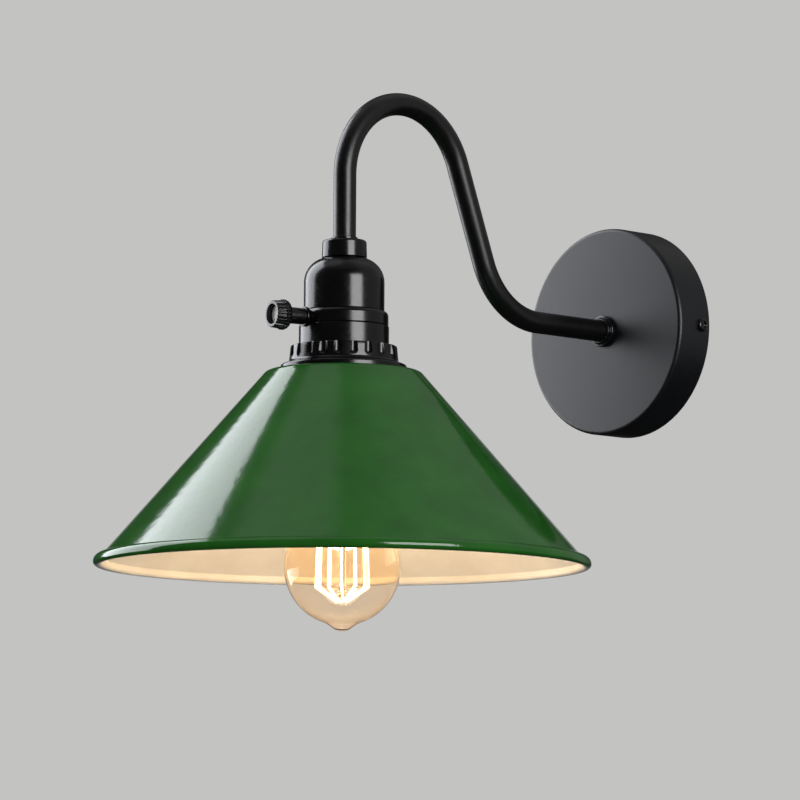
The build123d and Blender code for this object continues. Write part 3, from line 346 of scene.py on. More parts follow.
def threaded(name, below, start, end, radius, above, wave, place, sides=SMALL_SIDES,
             step=THREAD_STEP):
    """Turned piece whose outer wall between two heights carries a thread."""
    rows = [ring_of_points(point.x, point.y, sides) for point, _ in rounded(below, closed=False)]
    count = math.ceil((end - start) / step)
    for level in range(count + 1):
        rows.append(ring_of_points(radius, start + (end - start) * level / count, sides, wave))
    rows += [ring_of_points(point.x, point.y, sides) for point, _ in rounded(above, closed=False)]
    return skin(name, rows, True, place)


# ---- Objects and nodes ---------------------------------------------------------------------------
def new_object(name, data):
    """Object of the scene that holds a mesh, lamp or camera."""
    made = bpy.data.objects.new(name, data)
    bpy.context.scene.collection.objects.link(made)
    return made


def add(tree, kind, inputs=(), **settings):
    """Add a node with its settings, and its input values or links by socket name or number."""
    node = tree.nodes.new(kind)
    for key, value in settings.items():
        setattr(node, key, value)
    for key, value in dict(inputs).items():
        if isinstance(value, bpy.types.NodeSocket):
            tree.links.new(value, node.inputs[key])
        else:
            node.inputs[key].default_value = value
    return node


# ---- Geometry Nodes: what repeats round an axis and what follows a path --------------------------
def new_tree(name, **inputs):
    """Geometry Nodes tree with named inputs and one geometry output; returns it and its input node."""
    tree = bpy.data.node_groups.new(name, "GeometryNodeTree")
    for label, kind in inputs.items():
        tree.interface.new_socket(label, in_out="INPUT", socket_type="NodeSocket" + kind)
    tree.interface.new_socket("shape", in_out="OUTPUT", socket_type="NodeSocketGeometry")
    return tree, add(tree, "NodeGroupInput").outputs


def sectors_tree():
    """Copies of one sector spread round Z, made real and welded to their neighbours."""
    tree, given = new_tree(
        "sectors_round_axis", sector="Geometry", copies="Int", weld="Float", finish="Material"
    )
    points = add(tree, "GeometryNodePoints", {"Count": given["copies"]})
    step = add(tree, "ShaderNodeMath", {0: math.tau, 1: given["copies"]}, operation="DIVIDE")
    index = add(tree, "GeometryNodeInputIndex")
    turn = add(tree, "ShaderNodeMath", {0: index.outputs[0], 1: step.outputs[0]},
               operation="MULTIPLY")
    about_z = add(tree, "ShaderNodeCombineXYZ", {"Z": turn.outputs[0]})
    rotation = add(tree, "FunctionNodeEulerToRotation", {0: about_z.outputs[0]})
    copies = add(tree, "GeometryNodeInstanceOnPoints", {
        "Points": points.outputs[0],
        "Instance": given["sector"],
        "Rotation": rotation.outputs[0],
    })
    real = add(tree, "GeometryNodeRealizeInstances", {"Geometry": copies.outputs[0]})
    welded = add(tree, "GeometryNodeMergeByDistance", {
        "Geometry": real.outputs[0], "Distance": given["weld"]
    })
    finished = add(tree, "GeometryNodeSetMaterial", {
        "Geometry": welded.outputs[0], "Material": given["finish"]
    })
    add(tree, "NodeGroupOutput", {"shape": finished.outputs[0]})
    return tree


def coil_tree():
    """Fine wire wound in a close helix along a path of edges."""
    tree, given = new_tree(
        "coil_along_path", path="Geometry", coil_radius="Float", pitch="Float",
        steps="Int", wire_radius="Float", finish="Material",
    )
    curve = add(tree, "GeometryNodeMeshToCurve", {"Mesh": given["path"]})
    step = add(tree, "ShaderNodeMath", {0: given["pitch"], 1: given["steps"]}, operation="DIVIDE")
    fine = add(tree, "GeometryNodeResampleCurve", {
        "Curve": curve.outputs[0], "Length": step.outputs[0]
    }, mode="LENGTH")
    along = add(tree, "GeometryNodeSplineParameter")
    turns = add(tree, "ShaderNodeMath", {0: along.outputs["Length"], 1: given["pitch"]},
                operation="DIVIDE")
    phase = add(tree, "ShaderNodeMath", {0: turns.outputs[0], 1: math.tau}, operation="MULTIPLY")
    tangent = add(tree, "GeometryNodeInputTangent")
    normal = add(tree, "GeometryNodeInputNormal")
    arm = add(tree, "ShaderNodeVectorRotate", {
        "Vector": normal.outputs[0], "Axis": tangent.outputs[0], "Angle": phase.outputs[0]
    }, rotation_type="AXIS_ANGLE")
    offset = add(tree, "ShaderNodeVectorMath", {
        0: arm.outputs[0], "Scale": given["coil_radius"]
    }, operation="SCALE")
    wound = add(tree, "GeometryNodeSetPosition", {
        "Geometry": fine.outputs[0], "Offset": offset.outputs[0]
    })
    section = add(tree, "GeometryNodeCurvePrimitiveCircle", {
        "Resolution": COIL_WIRE_SIDES, "Radius": given["wire_radius"]
    })
    wire = add(tree, "GeometryNodeCurveToMesh", {
        "Curve": wound.outputs[0], "Profile Curve": section.outputs[0], "Fill Caps": True
    })
    real = add(tree, "GeometryNodeRealizeInstances", {"Geometry": wire.outputs[0]})
    finished = add(tree, "GeometryNodeSetMaterial", {
        "Geometry": real.outputs[0], "Material": given["finish"]
    })
    add(tree, "NodeGroupOutput", {"shape": finished.outputs[0]})
    return tree


def grown(name, seed, tree, place, **inputs):
    """Run a tree on a seed mesh and return its result as a plain mesh, placed."""
    maker = new_object(name, seed)
    modifier = maker.modifiers.new(name, "NODES")
    modifier.node_group = tree
    for socket in tree.interface.items_tree:
        if socket.name in inputs:
            modifier[socket.identifier] = inputs[socket.name]
    evaluated = maker.evaluated_get(bpy.context.evaluated_depsgraph_get())
    mesh = bpy.data.meshes.new_from_object(evaluated)
    bpy.data.objects.remove(maker)
    mesh.materials.clear()
    mesh.materials.append(inputs["finish"])
    return cleaned(mesh, place)


def path_mesh(name, points):
    """Edges along a list of points."""
    mesh = bpy.data.meshes.new(name)
    mesh.from_pydata(points, [(step, step + 1) for step in range(len(points) - 1)], [])
    return mesh


SECTORS = sectors_tree()
COIL = coil_tree()


def round_axis(name, rows, copies, finish, place):
    """Piece of equal sectors, from one sector's rows of (angle, radius, height) points."""
    seed = quads(name + "_sector", [
        [(r * math.cos(turn), r * math.sin(turn), z) for turn, r, z in row] for row in rows
    ])
    return grown(name, seed, SECTORS, place, copies=copies, weld=WELD, finish=finish)


def mirrored(half, pitch):
    """Stations of half a sector, and the same in mirror image up to its pitch."""
    return half + [(pitch - turn, *rest) for turn, *rest in reversed(half[:-1])]


# ---- Finishes ------------------------------------------------------------------------------------
def linear(code):
    """Linear colour of an sRGB hex value."""
    channels = []
    for place in (0, 2, 4):
        value = int(code[place:place + 2], 16) / 255
        channels.append(value / 12.92 if value <= 0.04045 else ((value + 0.055) / 1.055) ** 2.4)
    return (*channels, 1.0)


def new_finish(name):
    """Empty material; returns it, its tree and the object coordinates."""
    finish = bpy.data.materials.new(name)
    finish.use_nodes = True
    finish.node_tree.nodes.clear()
    return finish, finish.node_tree, add(finish.node_tree, "ShaderNodeTexCoord").outputs["Object"]


def blotches(tree, place, size_mm, low, high, detail=3.0):
    """Value that wanders from low to high in blotches about size_mm across."""
    noise = add(tree, "ShaderNodeTexNoise", {
        "Vector": place, "Scale": 1 / (size_mm * MM), "Detail": detail, "Roughness": 0.55
    })
    spread = add(tree, "ShaderNodeMapRange", {
        "Value": noise.outputs["Fac"], "From Min": 0.3, "From Max": 0.7, "To Min": low, "To Max": high
    })
    return spread.outputs["Result"]


def mottled(tree, place, size_mm, dark, light):
    """Colour that wanders between two hex colours in blotches about size_mm across."""
    mix = add(tree, "ShaderNodeMix", {
        0: blotches(tree, place, size_mm, 0, 1), 6: linear(dark), 7: linear(light)
    }, data_type="RGBA")
    return mix.outputs[2]


def rippled(tree, place, size_mm, height_mm, detail=3.0):
    """Normal of a surface that rises and falls by height_mm in ripples about size_mm across."""
    noise = add(tree, "ShaderNodeTexNoise", {
        "Vector": place, "Scale": 1 / (size_mm * MM), "Detail": detail, "Roughness": 0.55
    })
    bump = add(tree, "ShaderNodeBump", {
        "Height": noise.outputs["Fac"], "Distance": height_mm * MM, "Strength": 1.0
    })
    return bump.outputs["Normal"]


def opaque(name, colours, roughness, ripple_mm, height_mm, colour_mm, rough_mm, detail=3.0,
           metallic=0.0):
    """Solid material whose colour, roughness and ripple each wander at a size of their own."""
    finish, tree, place = new_finish(name)
    shader = add(tree, "ShaderNodeBsdfPrincipled", {
        "Base Color": mottled(tree, place, colour_mm, *colours),
        "Metallic": metallic,
        "Roughness": blotches(tree, place, rough_mm, *roughness),
        "Normal": rippled(tree, place, ripple_mm, height_mm, detail),
    })
    add(tree, "ShaderNodeOutputMaterial", {"Surface": shader.outputs[0]})
    return finish


def paint(name, dark, light, rough_low, rough_high, peel_mm, height_mm):
    """Paint or enamel on sheet metal, with the slight ripple of a sprayed and baked coat."""
    return opaque(name, (dark, light), (rough_low, rough_high), peel_mm, height_mm,
                  colour_mm=22.0, rough_mm=3.0, detail=2.0)


def metal(name, dark, light, rough_low, rough_high, grain_mm, height_mm):
    """Bare or plated metal with a fine grain."""
    return opaque(name, (dark, light), (rough_low, rough_high), grain_mm, height_mm,
                  colour_mm=4.0, rough_mm=grain_mm, metallic=1.0)


def moulding(name, dark, light, rough_low, rough_high, grain_mm, height_mm):
    """Moulded plastic, board or rubber: dull, with a fine moulded grain."""
    return opaque(name, (dark, light), (rough_low, rough_high), grain_mm, height_mm,
                  colour_mm=5.0, rough_mm=grain_mm)


def glass(name, tint, seen_tint, lit=0.0):
    """Thin blown glass: tinted light passes, and a low IOR keeps its edge as faint as a thin wall's. The
    last argument is the strength of a painted warm glow on the glass.
    """
    finish, tree, place = new_finish(name)
    body = add(tree, "ShaderNodeBsdfPrincipled", {
        "Base Color": linear(seen_tint),
        "Roughness": 0.0,
        "IOR": 1.2,
        "Transmission Weight": 1.0,
        # Painted warm glow of the filament's light in the glass: the glass is no lamp.
        "Emission Color": linear("FFA040"),
        "Emission Strength": lit,
        "Normal": rippled(tree, place, 14.0, 0.02, detail=1.0),
    })
    passing = add(tree, "ShaderNodeBsdfTransparent", {"Color": linear(tint)})
    rays = add(tree, "ShaderNodeLightPath")
    mixed = add(tree, "ShaderNodeMixShader", {
        0: rays.outputs["Is Shadow Ray"], 1: body.outputs[0], 2: passing.outputs[0]
    })
    add(tree, "ShaderNodeOutputMaterial", {"Surface": mixed.outputs[0]})
    return finish


def glowing_tungsten():
    """Incandescent filament: so bright that it shows no surface of its own."""
    finish, tree, place = new_finish("glowing_tungsten")
    heat = blotches(tree, place, 9.0, 20.0, 30.0, detail=1.0)
    glow = add(tree, "ShaderNodeEmission", {"Color": linear("FFD9A0"), "Strength": heat})
    add(tree, "ShaderNodeOutputMaterial", {"Surface": glow.outputs[0]})
    return finish


# Satin black lacquer, sprayed and baked: broad soft reflections over a true black.
BLACK_LACQUER = paint("satin_black_lacquer", "060607", "0B0B0C", 0.17, 0.23, 1.6, 0.004)
# The same lacquer on the bent tube, a little duller after bending and stoving.
TUBE_LACQUER = paint("dull_black_lacquer", "060607", "0B0B0C", 0.29, 0.35, 1.6, 0.004)
# The same lacquer, laid on thicker and duller on the wide pressed canopy. Its slightly bluer colour is a
# painted cool cast of the key light.
CANOPY_LACQUER = paint("matt_black_lacquer", "06070B", "0B0D12", 0.36, 0.44, 0.9, 0.006)
# Glossy green porcelain enamel: deep colour under a wet shine, whose edges waver with the ripple of
# the fired coat. The ripple is drawn about 5 mm across, as coarse as it needs to be to show.
GREEN_ENAMEL = paint("glossy_green_enamel", "1B4F17", "215B1B", 0.09, 0.13, 5.0, 0.06)
# White enamel inside the shade: bright and smooth, a little softer than the green.
WHITE_ENAMEL = paint("white_enamel", "E6E2DA", "F0EDE6", 0.18, 0.26, 8.0, 0.015)
# Zinc plated steel of the hidden fittings: pale, slightly cloudy metal.
ZINC = metal("zinc_plated_steel", "9A9C9E", "C2C4C4", 0.28, 0.42, 0.35, 0.004)
# Zinc plating dyed green, which marks the earth screw: pale metal under a green cast.
EARTH_GREEN = metal("green_plated_steel", "2F7A45", "4C9A5E", 0.28, 0.40, 0.35, 0.004)
# Bare drawn copper: warm and bright, dulled a little by handling.
COPPER = metal("bare_copper", "A4593A", "D08A66", 0.25, 0.40, 0.30, 0.003)
# Pale grey on the floor of the knob's recess: light and quite matt.
PALE_RECESS_FLOOR = moulding("pale_recess_floor", "E0E2E2", "EEF0EF", 0.34, 0.46, 0.40, 0.004)
# Rolled brass of the contacts and the thread shell: yellow, with soft streaks of light.
BRASS = metal("rolled_brass", "B08A45", "CFAC66", 0.22, 0.34, 0.30, 0.003)
# Thin brass of the bulb's cap, with a pale nickel look.
CAP_METAL = metal("bulb_cap_metal", "A99A78", "C9BC9C", 0.20, 0.32, 0.30, 0.003)
# Soft solder, dull and lumpy.
SOLDER = metal("soft_solder", "7D7E80", "A6A7A8", 0.35, 0.50, 0.80, 0.030)
# Drawn steel wire of the filament's supports: grey, with a thin bright line along it.
SUPPORT_STEEL = metal("drawn_steel_wire", "6E6A66", "918C86", 0.25, 0.35, 0.20, 0.002)
# Moulded phenolic: very dark brown with the sheen of a polished mould.
PHENOLIC = moulding("moulded_phenolic", "120D0B", "1F1713", 0.28, 0.40, 0.60, 0.004)
# Fused black glass round the bulb's contact: jet black and glossy.
BLACK_GLASS = moulding("fused_black_glass", "08080A", "101014", 0.06, 0.12, 2.00, 0.010)
# Extruded insulation of the two wires, and the moulded twist-on connectors: dull vinyl.
BLACK_VINYL = moulding("black_vinyl", "101010", "1B1B1B", 0.42, 0.55, 0.50, 0.003)
WHITE_VINYL = moulding("white_vinyl", "D5D3CD", "E3E1DC", 0.42, 0.55, 0.50, 0.003)
ORANGE_VINYL = moulding("orange_connector", "B8541C", "D0682A", 0.40, 0.52, 0.60, 0.005)
# Fibre board liner: flat brown paper pulp.
FIBRE = moulding("fibre_board", "7B5E3F", "97764F", 0.75, 0.90, 0.40, 0.020)
# Blown amber glass of the globe, with a faint painted glow for its filament's light caught in the glass,
# and the clear glass mount inside it.
AMBER_GLASS = glass("amber_globe_glass", "FBF3E6", "FDF5E6", lit=0.03)
CLEAR_GLASS = glass("clear_mount_glass", "FBFAF6", "F4F0E6")
TUNGSTEN = glowing_tungsten()


# ---- Pieces --------------------------------------------------------------------------------------
def show(name, mesh, body, slot, node, *finishes):
    """Make a mesh a piece that rides on a body and stands for its CAD node."""
    for finish in finishes:
        if finish.name not in mesh.materials:
            mesh.materials.append(finish)
    made = new_object(name, mesh)
    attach(made, body)
    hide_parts(node)


def smooth_copy(node):
    """Welded copy of a CAD node's mesh, smooth up to its sharp edges."""
    mesh = frame["nodes"][node].data.copy()
    mesh.materials.clear()
    return cleaned(mesh, recalculate=False)


def cut_round(mesh, place, radius, start, end):
    """Cut a round hole along a place's axis out of a mesh."""
    ends = ((0, start), (radius, start), (radius, end), (0, end))
    drill = skin("drill", [ring_of_points(*point, DRILL_SIDES) for point in ends], False, place)
    tool = new_object("drill", drill)
    stock = new_object("stock", mesh)
    modifier = stock.modifiers.new("hole", "BOOLEAN")
    modifier.operation = "DIFFERENCE"
    modifier.object = tool
    modifier.solver = "EXACT"
    evaluated = stock.evaluated_get(bpy.context.evaluated_depsgraph_get())
    result = bpy.data.meshes.new_from_object(evaluated)
    for item in (tool, stock):
        bpy.data.objects.remove(item)
    result.shade_smooth()
    result.set_sharp_from_angle(angle=SHARP_ANGLE)
    return result


# ---- Canopy and collar ---------------------------------------------------------------------------
def canopy():
    """Pressed pan that covers the wall box, with a hole in its edge for each side screw."""
    hole = NIPPLE_R + HOLE_GAP
    inside = CANOPY_R - CANOPY_WALL
    shell = lathe("canopy_shell", [
        (hole, CANOPY_FRONT),
        (CANOPY_R, CANOPY_FRONT, CANOPY_EDGE_R),
        (CANOPY_R, CANOPY_BACK, RIM_ROUND),
        (inside, CANOPY_BACK, RIM_ROUND),
        (inside, CANOPY_FRONT - CANOPY_WALL, CANOPY_EDGE_R - CANOPY_WALL),
        (hole, CANOPY_FRONT - CANOPY_WALL),
    ], ON_WALL)
    side_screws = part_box("canopy_side_screws")
    screw_y = (side_screws[0].y + side_screws[1].y) / 2
    across = (
        Matrix.Translation((0, screw_y, 0)) @ Matrix.Rotation(math.radians(90), 4, "Y") @ TO_METRES
    )
    past = CANOPY_R + DRILL_PAST
    return cut_round(shell, across, SIDE_SCREW_HOLE_R, -past, past)


def collar():
    """Stepped collar round the tube where it leaves the canopy."""
    step = COLLAR_BACK + COLLAR_BASE
    return lathe("collar", [
        (TUBE_R + SLIP, COLLAR_BACK),
        (COLLAR_R, COLLAR_BACK),
        (COLLAR_R, step, COLLAR_CHAMFER),
        (COLLAR_STEP_R, step, RIM_ROUND),
        (COLLAR_STEP_R, COLLAR_FRONT - COLLAR_CHAMFER, EDGE_ROUND),
        (COLLAR_STEP_R - COLLAR_CHAMFER, COLLAR_FRONT, EDGE_ROUND),
        (TUBE_R + SLIP, COLLAR_FRONT, RIM_ROUND),
    ], ON_WALL)


# ---- Inside the canopy ---------------------------------------------------------------------------
def threaded_nipple():
    """Hollow nipple with its thread rolled over the whole outside."""
    wave = thread_wave(NIPPLE_THREAD_PITCH, NIPPLE_THREAD_DEPTH, NIPPLE_BACK, NIPPLE_FRONT,
                       NIPPLE_THREAD_FADE)
    return threaded(
        "nipple", [(NIPPLE_BORE_R, NIPPLE_BACK)], NIPPLE_BACK, NIPPLE_FRONT, NIPPLE_R,
        [(NIPPLE_BORE_R, NIPPLE_FRONT)], wave, ON_WALL, step=NIPPLE_THREAD_PITCH / 6,
    )


def lock_nut():
    """Hexagonal nut with both faces chamfered round."""
    middle = (NUT_LOW + NUT_HIGH) / 2
    heights = [NUT_LOW, NUT_LOW + NUT_CHAMFER, middle, NUT_HIGH - NUT_CHAMFER, NUT_HIGH]
    flat = NUT_ACROSS_FLATS / 2
    bore = NIPPLE_R + SLIP
    rows = []
    for degrees in range(-30, 31, 5):
        turn = math.radians(degrees)
        row = [(turn, bore, NUT_LOW)]
        for height in heights:
            inset = min(height - NUT_LOW, NUT_HIGH - height)
            row.append((turn, min(flat / math.cos(turn), flat + inset * math.sqrt(3)), height))
        rows.append(row + [(turn, bore, NUT_HIGH)])
    return round_axis("nut", rows, 6, ZINC, ON_WALL)


def twist_on_connector(place):
    """Tapered cap with grooves along it for the fingers."""
    pitch = math.tau / CONNECTOR_RIBS
    rows = []
    for share, sunk in CONNECTOR_GROOVE_SHAPE:
        groove = CONNECTOR_GROOVE * sunk
        corners = rounded([
            (0, CONNECTOR_SOCKET),
            (CONNECTOR_MOUTH_R, CONNECTOR_SOCKET),
            (CONNECTOR_MOUTH_R, 0, EDGE_ROUND),
            (CONNECTOR_R, 0, CONNECTOR_RIM_R),
            (CONNECTOR_R, CONNECTOR_SKIRT_BAND),
            (CONNECTOR_R - groove, CONNECTOR_SKIRT),
            (CONNECTOR_TIP_R - groove, CONNECTOR_LENGTH, CONNECTOR_END_R),
            (0, CONNECTOR_LENGTH),
        ], closed=False)
        rows.append([(pitch * share, *point) for point, _ in corners])
    return round_axis("connector", rows, CONNECTOR_RIBS, ORANGE_VINYL, place)


def connectors():
    """Both connectors, one pointing up and one down, joined into one piece."""
    low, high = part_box("wire_connectors")
    both = bmesh.new()
    for x, z, turn in ((low.x + CONNECTOR_R * MM, high.z - CONNECTOR_LENGTH * MM, 0),
                       (high.x - CONNECTOR_R * MM, low.z + CONNECTOR_LENGTH * MM, 180)):
        place = Matrix.Translation((x, (low.y + high.y) / 2, z)) @ Matrix.Rotation(
            math.radians(turn), 4, "X") @ TO_METRES
        both.from_mesh(twist_on_connector(place))
    mesh = bpy.data.meshes.new("connectors")
    both.to_mesh(mesh)
    both.free()
    mesh.materials.append(ORANGE_VINYL)
    mesh.set_sharp_from_angle(angle=SHARP_ANGLE)
    return mesh


# ---- Arm -----------------------------------------------------------------------------------------
def arm_stations():
    """Places along the arm's centre line as (y, z, heading); heading 0 is out from the wall."""
    y, z, heading = -CANOPY_FRONT, 0.0, 0.0
    stations = [(y, z, heading)]
    moves = (
        (ARM_REACH, 0, 0),
        (0, ARM_RISE_BEND_R, ARM_RISE_ANGLE),
        (ARM_RISE_LENGTH, 0, 0),
        (0, ARM_ARCH_R, -ARM_RISE_ANGLE - 90),
        (ARM_DROP + ARM_SEAT, 0, 0),
    )
    for length, radius, turn in moves:
        if length:
            y -= length * math.cos(heading)
            z += length * math.sin(heading)
            stations.append((y, z, heading))
            continue
        side = math.copysign(radius, turn)
        centre_y = y + side * math.sin(heading)
        centre_z = z + side * math.cos(heading)
        steps = math.ceil(abs(turn) / BEND_STEP)
        for _ in range(steps):
            heading += math.radians(turn) / steps
            y = centre_y - side * math.sin(heading)
            z = centre_z - side * math.cos(heading)
            stations.append((y, z, heading))
    return stations


def arm_tube():
    """Bent tube with its bore open at both ends."""
    stations = arm_stations()
    rows = []
    for radius, order in ((TUBE_R, stations), (TUBE_R - TUBE_WALL, stations[::-1])):
        for y, z, heading in order:
            row = []
            for side in range(ROUND_SIDES // 2):
                angle = math.tau * side / (ROUND_SIDES // 2)
                across = radius * math.cos(angle)
                up = radius * math.sin(angle)
                row.append((across, y + up * math.sin(heading), z + up * math.cos(heading)))
            rows.append(row)
    return skin("arm", rows, True, TO_METRES)


# ---- Head ----------------------------------------------------------------------------------------
def neck():
    """Collar that joins the tube to the cap, with a thin lip round the tube."""
    lip = NECK_TOP - NECK_LIP
    seat = NECK_TOP - ARM_SEAT
    return lathe("neck", [
        (TUBE_R + SLIP, NECK_TOP),
        (NECK_LIP_R, NECK_TOP, SOFT_ROUND),
        (NECK_LIP_R, lip, EDGE_ROUND),
        (NECK_TOP_R, lip, NECK_EDGE_R),
        (NECK_R, CAP_TOP, RIM_ROUND),
        (NIPPLE_R + SLIP, CAP_TOP),
        (NIPPLE_R + SLIP, seat),
        (TUBE_R + SLIP, seat),
    ], ON_HEAD)


def cap():
    """Domed cap that closes the socket's upper half."""
    bore = CAP_R - CAP_WALL
    return lathe("cap", [
        (NIPPLE_R + SLIP, CAP_TOP),
        (CAP_R, CAP_TOP, CAP_DOME_R),
        (CAP_R, SHELL_TOP, RIM_ROUND),
        (bore, SHELL_TOP),
        (bore, CAP_TOP - CAP_WALL, CAP_DOME_R - CAP_WALL),
        (NIPPLE_R + SLIP, CAP_TOP - CAP_WALL),
    ], ON_HEAD)


def shell():
    """Socket shell with a scribed line round its band, a spigot above and a skirt for the rings."""
    bottom = RING_TOP
    bore = SHELL_R - SHELL_WALL
    groove_top = SHELL_TOP - GROOVE_DOWN + GROOVE_WIDTH / 2
    groove_bottom = groove_top - GROOVE_WIDTH
    groove_r = SHELL_BAND_R - GROOVE_DEPTH
    body = lathe("shell", [
        (SPIGOT_BORE_R, SPIGOT_TOP),
        (SPIGOT_R, SPIGOT_TOP),
        (SPIGOT_R, SHELL_TOP),
        (SHELL_BAND_R, SHELL_TOP, SHELL_SHOULDER_R),
        (SHELL_BAND_R, groove_top, GROOVE_EDGE_R),
        (groove_r, (groove_top + groove_bottom) / 2),
        (SHELL_R, groove_bottom, RIM_ROUND),
        (SHELL_R, bottom, SHELL_FOOT_R),
        (SKIRT_R, bottom),
        (SKIRT_R, SKIRT_BOTTOM, RIM_ROUND),
        (SKIRT_BORE_R, SKIRT_BOTTOM, RIM_ROUND),
        (SKIRT_BORE_R, bottom + SHELL_WALL),
        (bore, bottom + SHELL_WALL),
        (bore, SHELL_TOP - SHELL_WALL, SHELL_SHOULDER_R - SHELL_WALL),
        (SPIGOT_BORE_R, SHELL_TOP - SHELL_WALL),
    ], ON_HEAD)
    return cut_round(
        body, ON_SWITCH, BUSHING_THREAD_R + SLIP, BUSHING_BACK - HOLE_GAP, SHELL_R + DRILL_PAST
    )


# ---- Rings and shade -----------------------------------------------------------------------------
def toothed_ring():
    """Upright flutes with round lower ends between the teeth, over a coved flange."""
    foot = RING_TOP - RING_TOOTH_HEIGHT
    reach = RING_TOP_R + RING_FLUTE_R - RING_FLUTE_DEPTH
    ball = foot + math.sqrt(RING_FLUTE_R ** 2 - (reach - RING_FOOT_R) ** 2)
    pitch = math.tau / RING_TEETH

    def across(height):
        """Half a flute and half a tooth at one height, as (angle, radius, height)."""
        into_edge = max(0.0, height - RING_TOP + RING_TOP_EDGE_R)
        face = RING_TOP_R + (RING_FOOT_R - RING_TOP_R) * (RING_TOP - height) / RING_TOOTH_HEIGHT
        face += math.sqrt(RING_TOP_EDGE_R ** 2 - into_edge ** 2) - RING_TOP_EDGE_R
        cutter = math.sqrt(RING_FLUTE_R ** 2 - max(0.0, ball - height) ** 2)
        edge = math.acos(min(1.0, (reach ** 2 + face ** 2 - cutter ** 2) / (2 * reach * face)))
        row = []
        for share in FLUTE_SHARES:
            turn = edge * share
            depth = math.sqrt(cutter ** 2 - (reach * math.sin(turn)) ** 2)
            row.append((turn, min(face, reach * math.cos(turn) - depth), height))
        start = edge * TOOTH_STARTS_AT
        return row + [(start + (pitch / 2 - start) * share, face, height) for share in TOOTH_SHARES]

    heights = [RING_TOP - down for down in (*RING_EDGE_LEVELS, RING_TOP_EDGE_R)]
    heights += [heights[-1] + (ball - heights[-1]) * share for share in (1 / 3, 2 / 3, 1)]
    heights += [ball - (ball - foot) * math.sin(math.radians(turn)) for turn in range(15, 91, 15)]
    levels = [across(height) for height in heights]
    for point, _ in rounded([
        (RING_FOOT_R, foot),
        (RING_FOOT_R, foot - FLANGE_COVE_DOWN, FLANGE_COVE_R),
        (FLANGE_R, foot - FLANGE_EDGE_DOWN, FLANGE_EDGE_R),
        (FLANGE_R, SHADE_TOP, FLANGE_FOOT_R),
        (RING_BORE_R, SHADE_TOP),
        (RING_BORE_R, RING_TOP),
    ], closed=False)[1:]:
        level = [(0, *point)] * len(FLUTE_SHARES)
        levels.append(level + [(pitch / 2 * share, *point) for share in TOOTH_SHARES])
    rows = [list(station) for station in zip(*levels)]
    rows += [[(pitch - turn, r, z) for turn, r, z in row] for row in reversed(rows[:-1])]
    return round_axis("ring", rows, RING_TEETH, BLACK_LACQUER, ON_HEAD)


def notched_ring():
    """Clamp ring under the shade, with round finger notches in its lower edge."""
    ledge = LOWER_TOP - LOWER_NOTCH_LEDGE
    centre = LOWER_R + LOWER_NOTCH_R / 2
    pitch = 360 / LOWER_NOTCHES
    meet = math.degrees(math.acos(
        (LOWER_R ** 2 + centre ** 2 - LOWER_NOTCH_R ** 2) / (2 * LOWER_R * centre)
    ))
    stations = []
    for step in range(LOWER_NOTCH_STEPS + 1):
        degrees = meet * step / LOWER_NOTCH_STEPS
        angle = math.radians(degrees)
        reach = centre * math.cos(angle) - math.sqrt(
            max(0.0, LOWER_NOTCH_R ** 2 - (centre * math.sin(angle)) ** 2)
        )
        stations.append((degrees, min(reach, LOWER_R)))
    stations += [(meet + (pitch / 2 - meet) * step / 3, LOWER_R) for step in range(1, 4)]

    def outline(reach):
        """Section of the ring where its lower edge reaches this far out."""
        edge = rounded([
            (reach, ledge), (reach, LOWER_BOTTOM, LOWER_EDGE_R), (RING_BORE_R, LOWER_BOTTOM)
        ], closed=False)
        points = [(RING_BORE_R, LOWER_TOP), (LOWER_R, LOWER_TOP), (LOWER_R, ledge)]
        return points + [tuple(point) for point, _ in edge]

    rows = [
        [(math.radians(degrees), r, z) for r, z in outline(reach)]
        for degrees, reach in mirrored(stations, pitch)
    ]
    return round_axis("clamp", rows, LOWER_NOTCHES, BLACK_LACQUER, ON_HEAD)


def shade():
    """Spun shade, green outside and over the rolled rim, white inside."""
    crease = SHADE_BOTTOM + SHADE_BEAD_HEIGHT
    slope = (SHADE_CREASE_R - SHADE_SHOULDER_R) / (SHADE_TOP - crease)
    under = SHADE_TOP - SHADE_WALL
    inner_shoulder = SHADE_SHOULDER_R + slope * SHADE_WALL - SHADE_WALL * math.sqrt(1 + slope ** 2)
    hem_r = SHADE_R - SHADE_HEM
    hem_top = under - (hem_r - inner_shoulder) / slope
    return lathe("shade", [
        (SHADE_HOLE_R, SHADE_TOP),
        (SHADE_SHOULDER_R, SHADE_TOP, SHADE_SHOULDER_BEND_R),
        (SHADE_CREASE_R, crease, SHADE_CREASE_ROUND),
        (SHADE_R, crease, SHADE_BEAD_R),
        (SHADE_R, SHADE_BOTTOM, SHADE_HEM_EDGE_R),
        (hem_r, SHADE_BOTTOM, SHADE_HEM_EDGE_R),
        (hem_r, hem_top, SHADE_HEM_TOP_R),
        (inner_shoulder, under, SHADE_SHOULDER_BEND_R - SHADE_WALL),
        (SHADE_HOLE_R, under),
    ], ON_HEAD, sides=SHADE_SIDES, second_from=5)


# ---- Turn switch ---------------------------------------------------------------------------------
def stem():
    """Threaded bushing that carries the switch's shaft out through the shell."""
    return lathe("stem", [
        (SHAFT_BORE_R, BUSHING_BACK),
        (BUSHING_THREAD_R, BUSHING_BACK),
        (BUSHING_THREAD_R, SHELL_R + BUSHING_STEP),
        (BUSHING_R, SHELL_R + BUSHING_STEP),
        (BUSHING_R, BUSHING_FRONT, EDGE_ROUND),
        (SHAFT_BORE_R, BUSHING_FRONT, FINE_ROUND),
    ], ON_SWITCH, sides=SMALL_SIDES)


